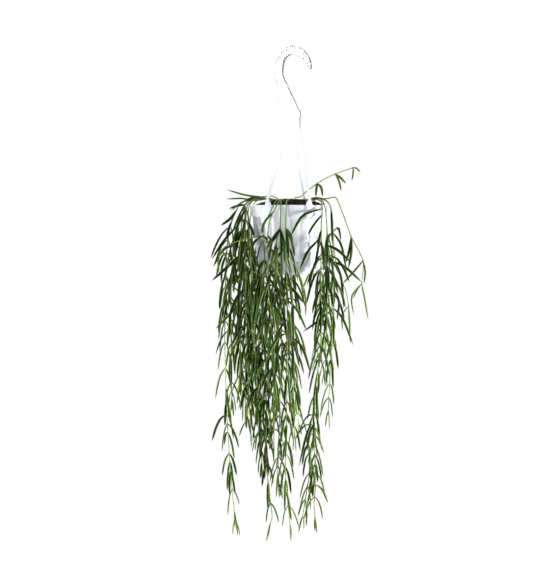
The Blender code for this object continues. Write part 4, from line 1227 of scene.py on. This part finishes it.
def stem_bark():
    """A green stem that dulls to olive towards its root, with pale flecks."""
    made, tree, shader, place = new_material("green_stem")
    age = add_node(tree, "ShaderNodeAttribute", {"attribute_name": "youth"}).outputs["Fac"]
    streaks = cloudy(tree, place, 300.0, 3.0)
    tone = mixed(tree, spread(tree, age, 0.0, 0.25), "#6A743A", "#7C943C")
    flecked = mixed(tree, spread(tree, streaks, 0.5, 0.75, 0.0, 0.5), tone, "#B7C07F")
    relief = bumped(tree, streaks, 0.3, 0.0003)
    set_up(tree, shader, {"Roughness": 0.55}, {"Base Color": flecked, "Normal": relief})
    return made


def stem_line(route, places):
    """Points along a stem with its radius there: swollen at the joints, thinner to the tip."""
    run = travel(route)
    count = max(8, round(run[-1] / STEM_STEP))
    points = []
    for k in range(count + 1):
        distance = run[-1] * k / count
        point, _ = along_route(route, run, distance)
        near = min(abs(distance - place) for place in places)
        slim = STEM_RADIUS * (1.0 - 0.3 * distance / run[-1])
        swell = NODE_SWELL * math.exp(-((near / NODE_LENGTH) ** 2))
        points.append((point, slim + swell, distance / run[-1]))
    return points


def node_lines(shoots, draw):
    """A mesh of lines for one node, with what the tree and the materials read from them."""
    points, edges = [], []
    values = {"width": [], "along": [], "tone": [], "youth": [], "on_stem": [], "facing": []}

    def put(point, following, **given):
        if following:
            edges.append((len(points) - 1, len(points)))
        points.append(from_rim(point))
        for name, value in given.items():
            values[name].append(value)

    for line, _, joints, leaves in shoots:
        for i, (point, radius, share) in enumerate(stem_line(line, joints)):
            look = {"tone": 0.5, "youth": share, "on_stem": True, "facing": (1, 0, 0)}
            put(point, i > 0, width=radius * MM, along=share, **look)
        for spine, outward in leaves:
            ahead = (spine[-1] - spine[0]).normalized()
            across = ahead.cross(outward).normalized()
            twist = draw.uniform(-0.5, 0.5)
            tone = draw.random()
            youth = max(0.0, 0.5 - (spine[0] - line[-1]).length / YOUNG_LENGTH)
            width = LEAF_HALF_WIDTH * MM * draw.uniform(0.82, 1.0) * (1.0 - 0.7 * youth)
            youth += 0.3 if draw.random() < PALE_SHARE else 0.0
            for i, point in enumerate(spine):
                facing = tuple(Matrix.Rotation(twist * i / 4, 3, ahead) @ across)
                look = {"tone": tone, "youth": youth, "on_stem": False, "facing": facing}
                put(point, i > 0, width=width, along=i / 4, **look)
    mesh = bpy.data.meshes.new("lines")
    mesh.from_pydata(points, edges, [])
    for name, column in values.items():
        kind = {"on_stem": "BOOLEAN", "facing": "FLOAT_VECTOR"}.get(name, "FLOAT")
        data = mesh.attributes.new(name, kind, "POINT").data
        if name == "facing":
            data.foreach_set("vector", [part for vector in column for part in vector])
        else:
            data.foreach_set("value", column)
    return mesh


section = leaf_section()
leafy = leafy_tree(leaf_cuticle(), stem_bark())
for order, (node, shoots) in enumerate(grow_plant().items()):
    lines = node_lines(shoots, random.Random(300 + order))
    keep_piece(f"{node}_leafy", grown(lines, leafy, {"Leaf section": section}), None, node)
bpy.data.objects.remove(section)

# The studio. A plain pale floor far under the plant, a wide, low softbox on each side, the right one
# stronger, a small one for the hanger, and weak ones above and behind. So the pot is bright at its sides
# and greyer in the middle.
FLOOR_DROP = 0.7
FLOOR_RADIUS = 1.0


def pale_floor():
    """Matt white paint under even light: it reads as white, and still takes a soft shadow."""
    made, tree, shader, place = new_material("matt_white_floor")
    paint = mixed(tree, cloudy(tree, place, 3.0), "#F4F4F4", "#F8F8F8")
    glow = {"Emission Color": linear("#FFFFFF"), "Emission Strength": 0.9}
    set_up(tree, shader, {"Roughness": 0.9, **glow}, {"Base Color": paint})
    return made


bm = bmesh.new()
bmesh.ops.create_circle(bm, cap_ends=True, segments=96, radius=FLOOR_RADIUS)
bmesh.ops.translate(bm, vec=(0, 0, cad_box[0].z - FLOOR_DROP), verts=bm.verts)
floor = in_scene("floor", settled(bm))
floor.data.materials.append(pale_floor())


def soft_light(name, place, aim, size, watts, degrees):
    """A white softbox this wide and high, with a grid that narrows its beam, turned to what it lights."""
    lamp = bpy.data.lights.new(name, "AREA")
    lamp.shape, lamp.energy = "RECTANGLE", watts
    lamp.size, lamp.size_y = size
    lamp.spread = math.radians(degrees)
    made = in_scene(name, lamp)
    made.location = place
    made.rotation_euler = (Vector(aim) - Vector(place)).to_track_quat("-Z", "Y").to_euler()


soft_light("right softbox", (1.75, -0.38, -0.64), (0.0, 0.0, -0.64), (1.8, 0.3), 15.0, 36.0)
soft_light("left softbox", (-1.75, -0.3, -0.64), (0.0, 0.0, -0.64), (1.8, 0.3), 6.5, 36.0)
soft_light("hanger softbox", (-0.7, -1.3, -0.1), (0.0, 0.0, -0.09), (0.3, 0.3), 0.46, 12.0)
soft_light("top softbox", (-0.1, -0.5, 1.6), (0.0, 0.0, -0.6), (1.0, 1.0), 0.9, 60.0)
soft_light("rear softbox", (-0.3, 1.8, 0.0), (0.0, 0.0, -0.4), (1.0, 1.0), 4.0, 60.0)

world = bpy.data.worlds.new("white cove")
world.use_nodes = True
bpy.context.scene.world = world
backdrop = world.node_tree.nodes["Background"]
seen = add_node(world.node_tree, "ShaderNodeLightPath").outputs["Is Camera Ray"]
strength = spread(world.node_tree, seen, 0.0, 1.0, 0.1, 1.0)
set_up(world.node_tree, backdrop, {"Color": linear("#FFFFFF")}, {"Strength": strength})

# The camera. Eye level with the rim and tipped down a little, as the photograph was taken.
CAMERA_DISTANCE = 1.35
CAMERA_RIGHT = -0.0436
CAMERA_OVER_RIM = 0.0016
TIPPED_DOWN = math.radians(7.26)
FOCAL_PIXELS = 706.0
PHOTO_HEIGHT = 588.0
SENSOR = 36.0

lens = bpy.data.cameras.new("camera")
lens.sensor_width = SENSOR
lens.lens = SENSOR * FOCAL_PIXELS / PHOTO_HEIGHT
camera = in_scene("camera", lens)
camera.location = (CAMERA_RIGHT, -CAMERA_DISTANCE, rim_plane + CAMERA_OVER_RIM)
camera.rotation_euler = (math.pi / 2 - TIPPED_DOWN, 0, 0)
bpy.context.scene.camera = camera
bpy.context.scene.view_settings.view_transform = "Standard"
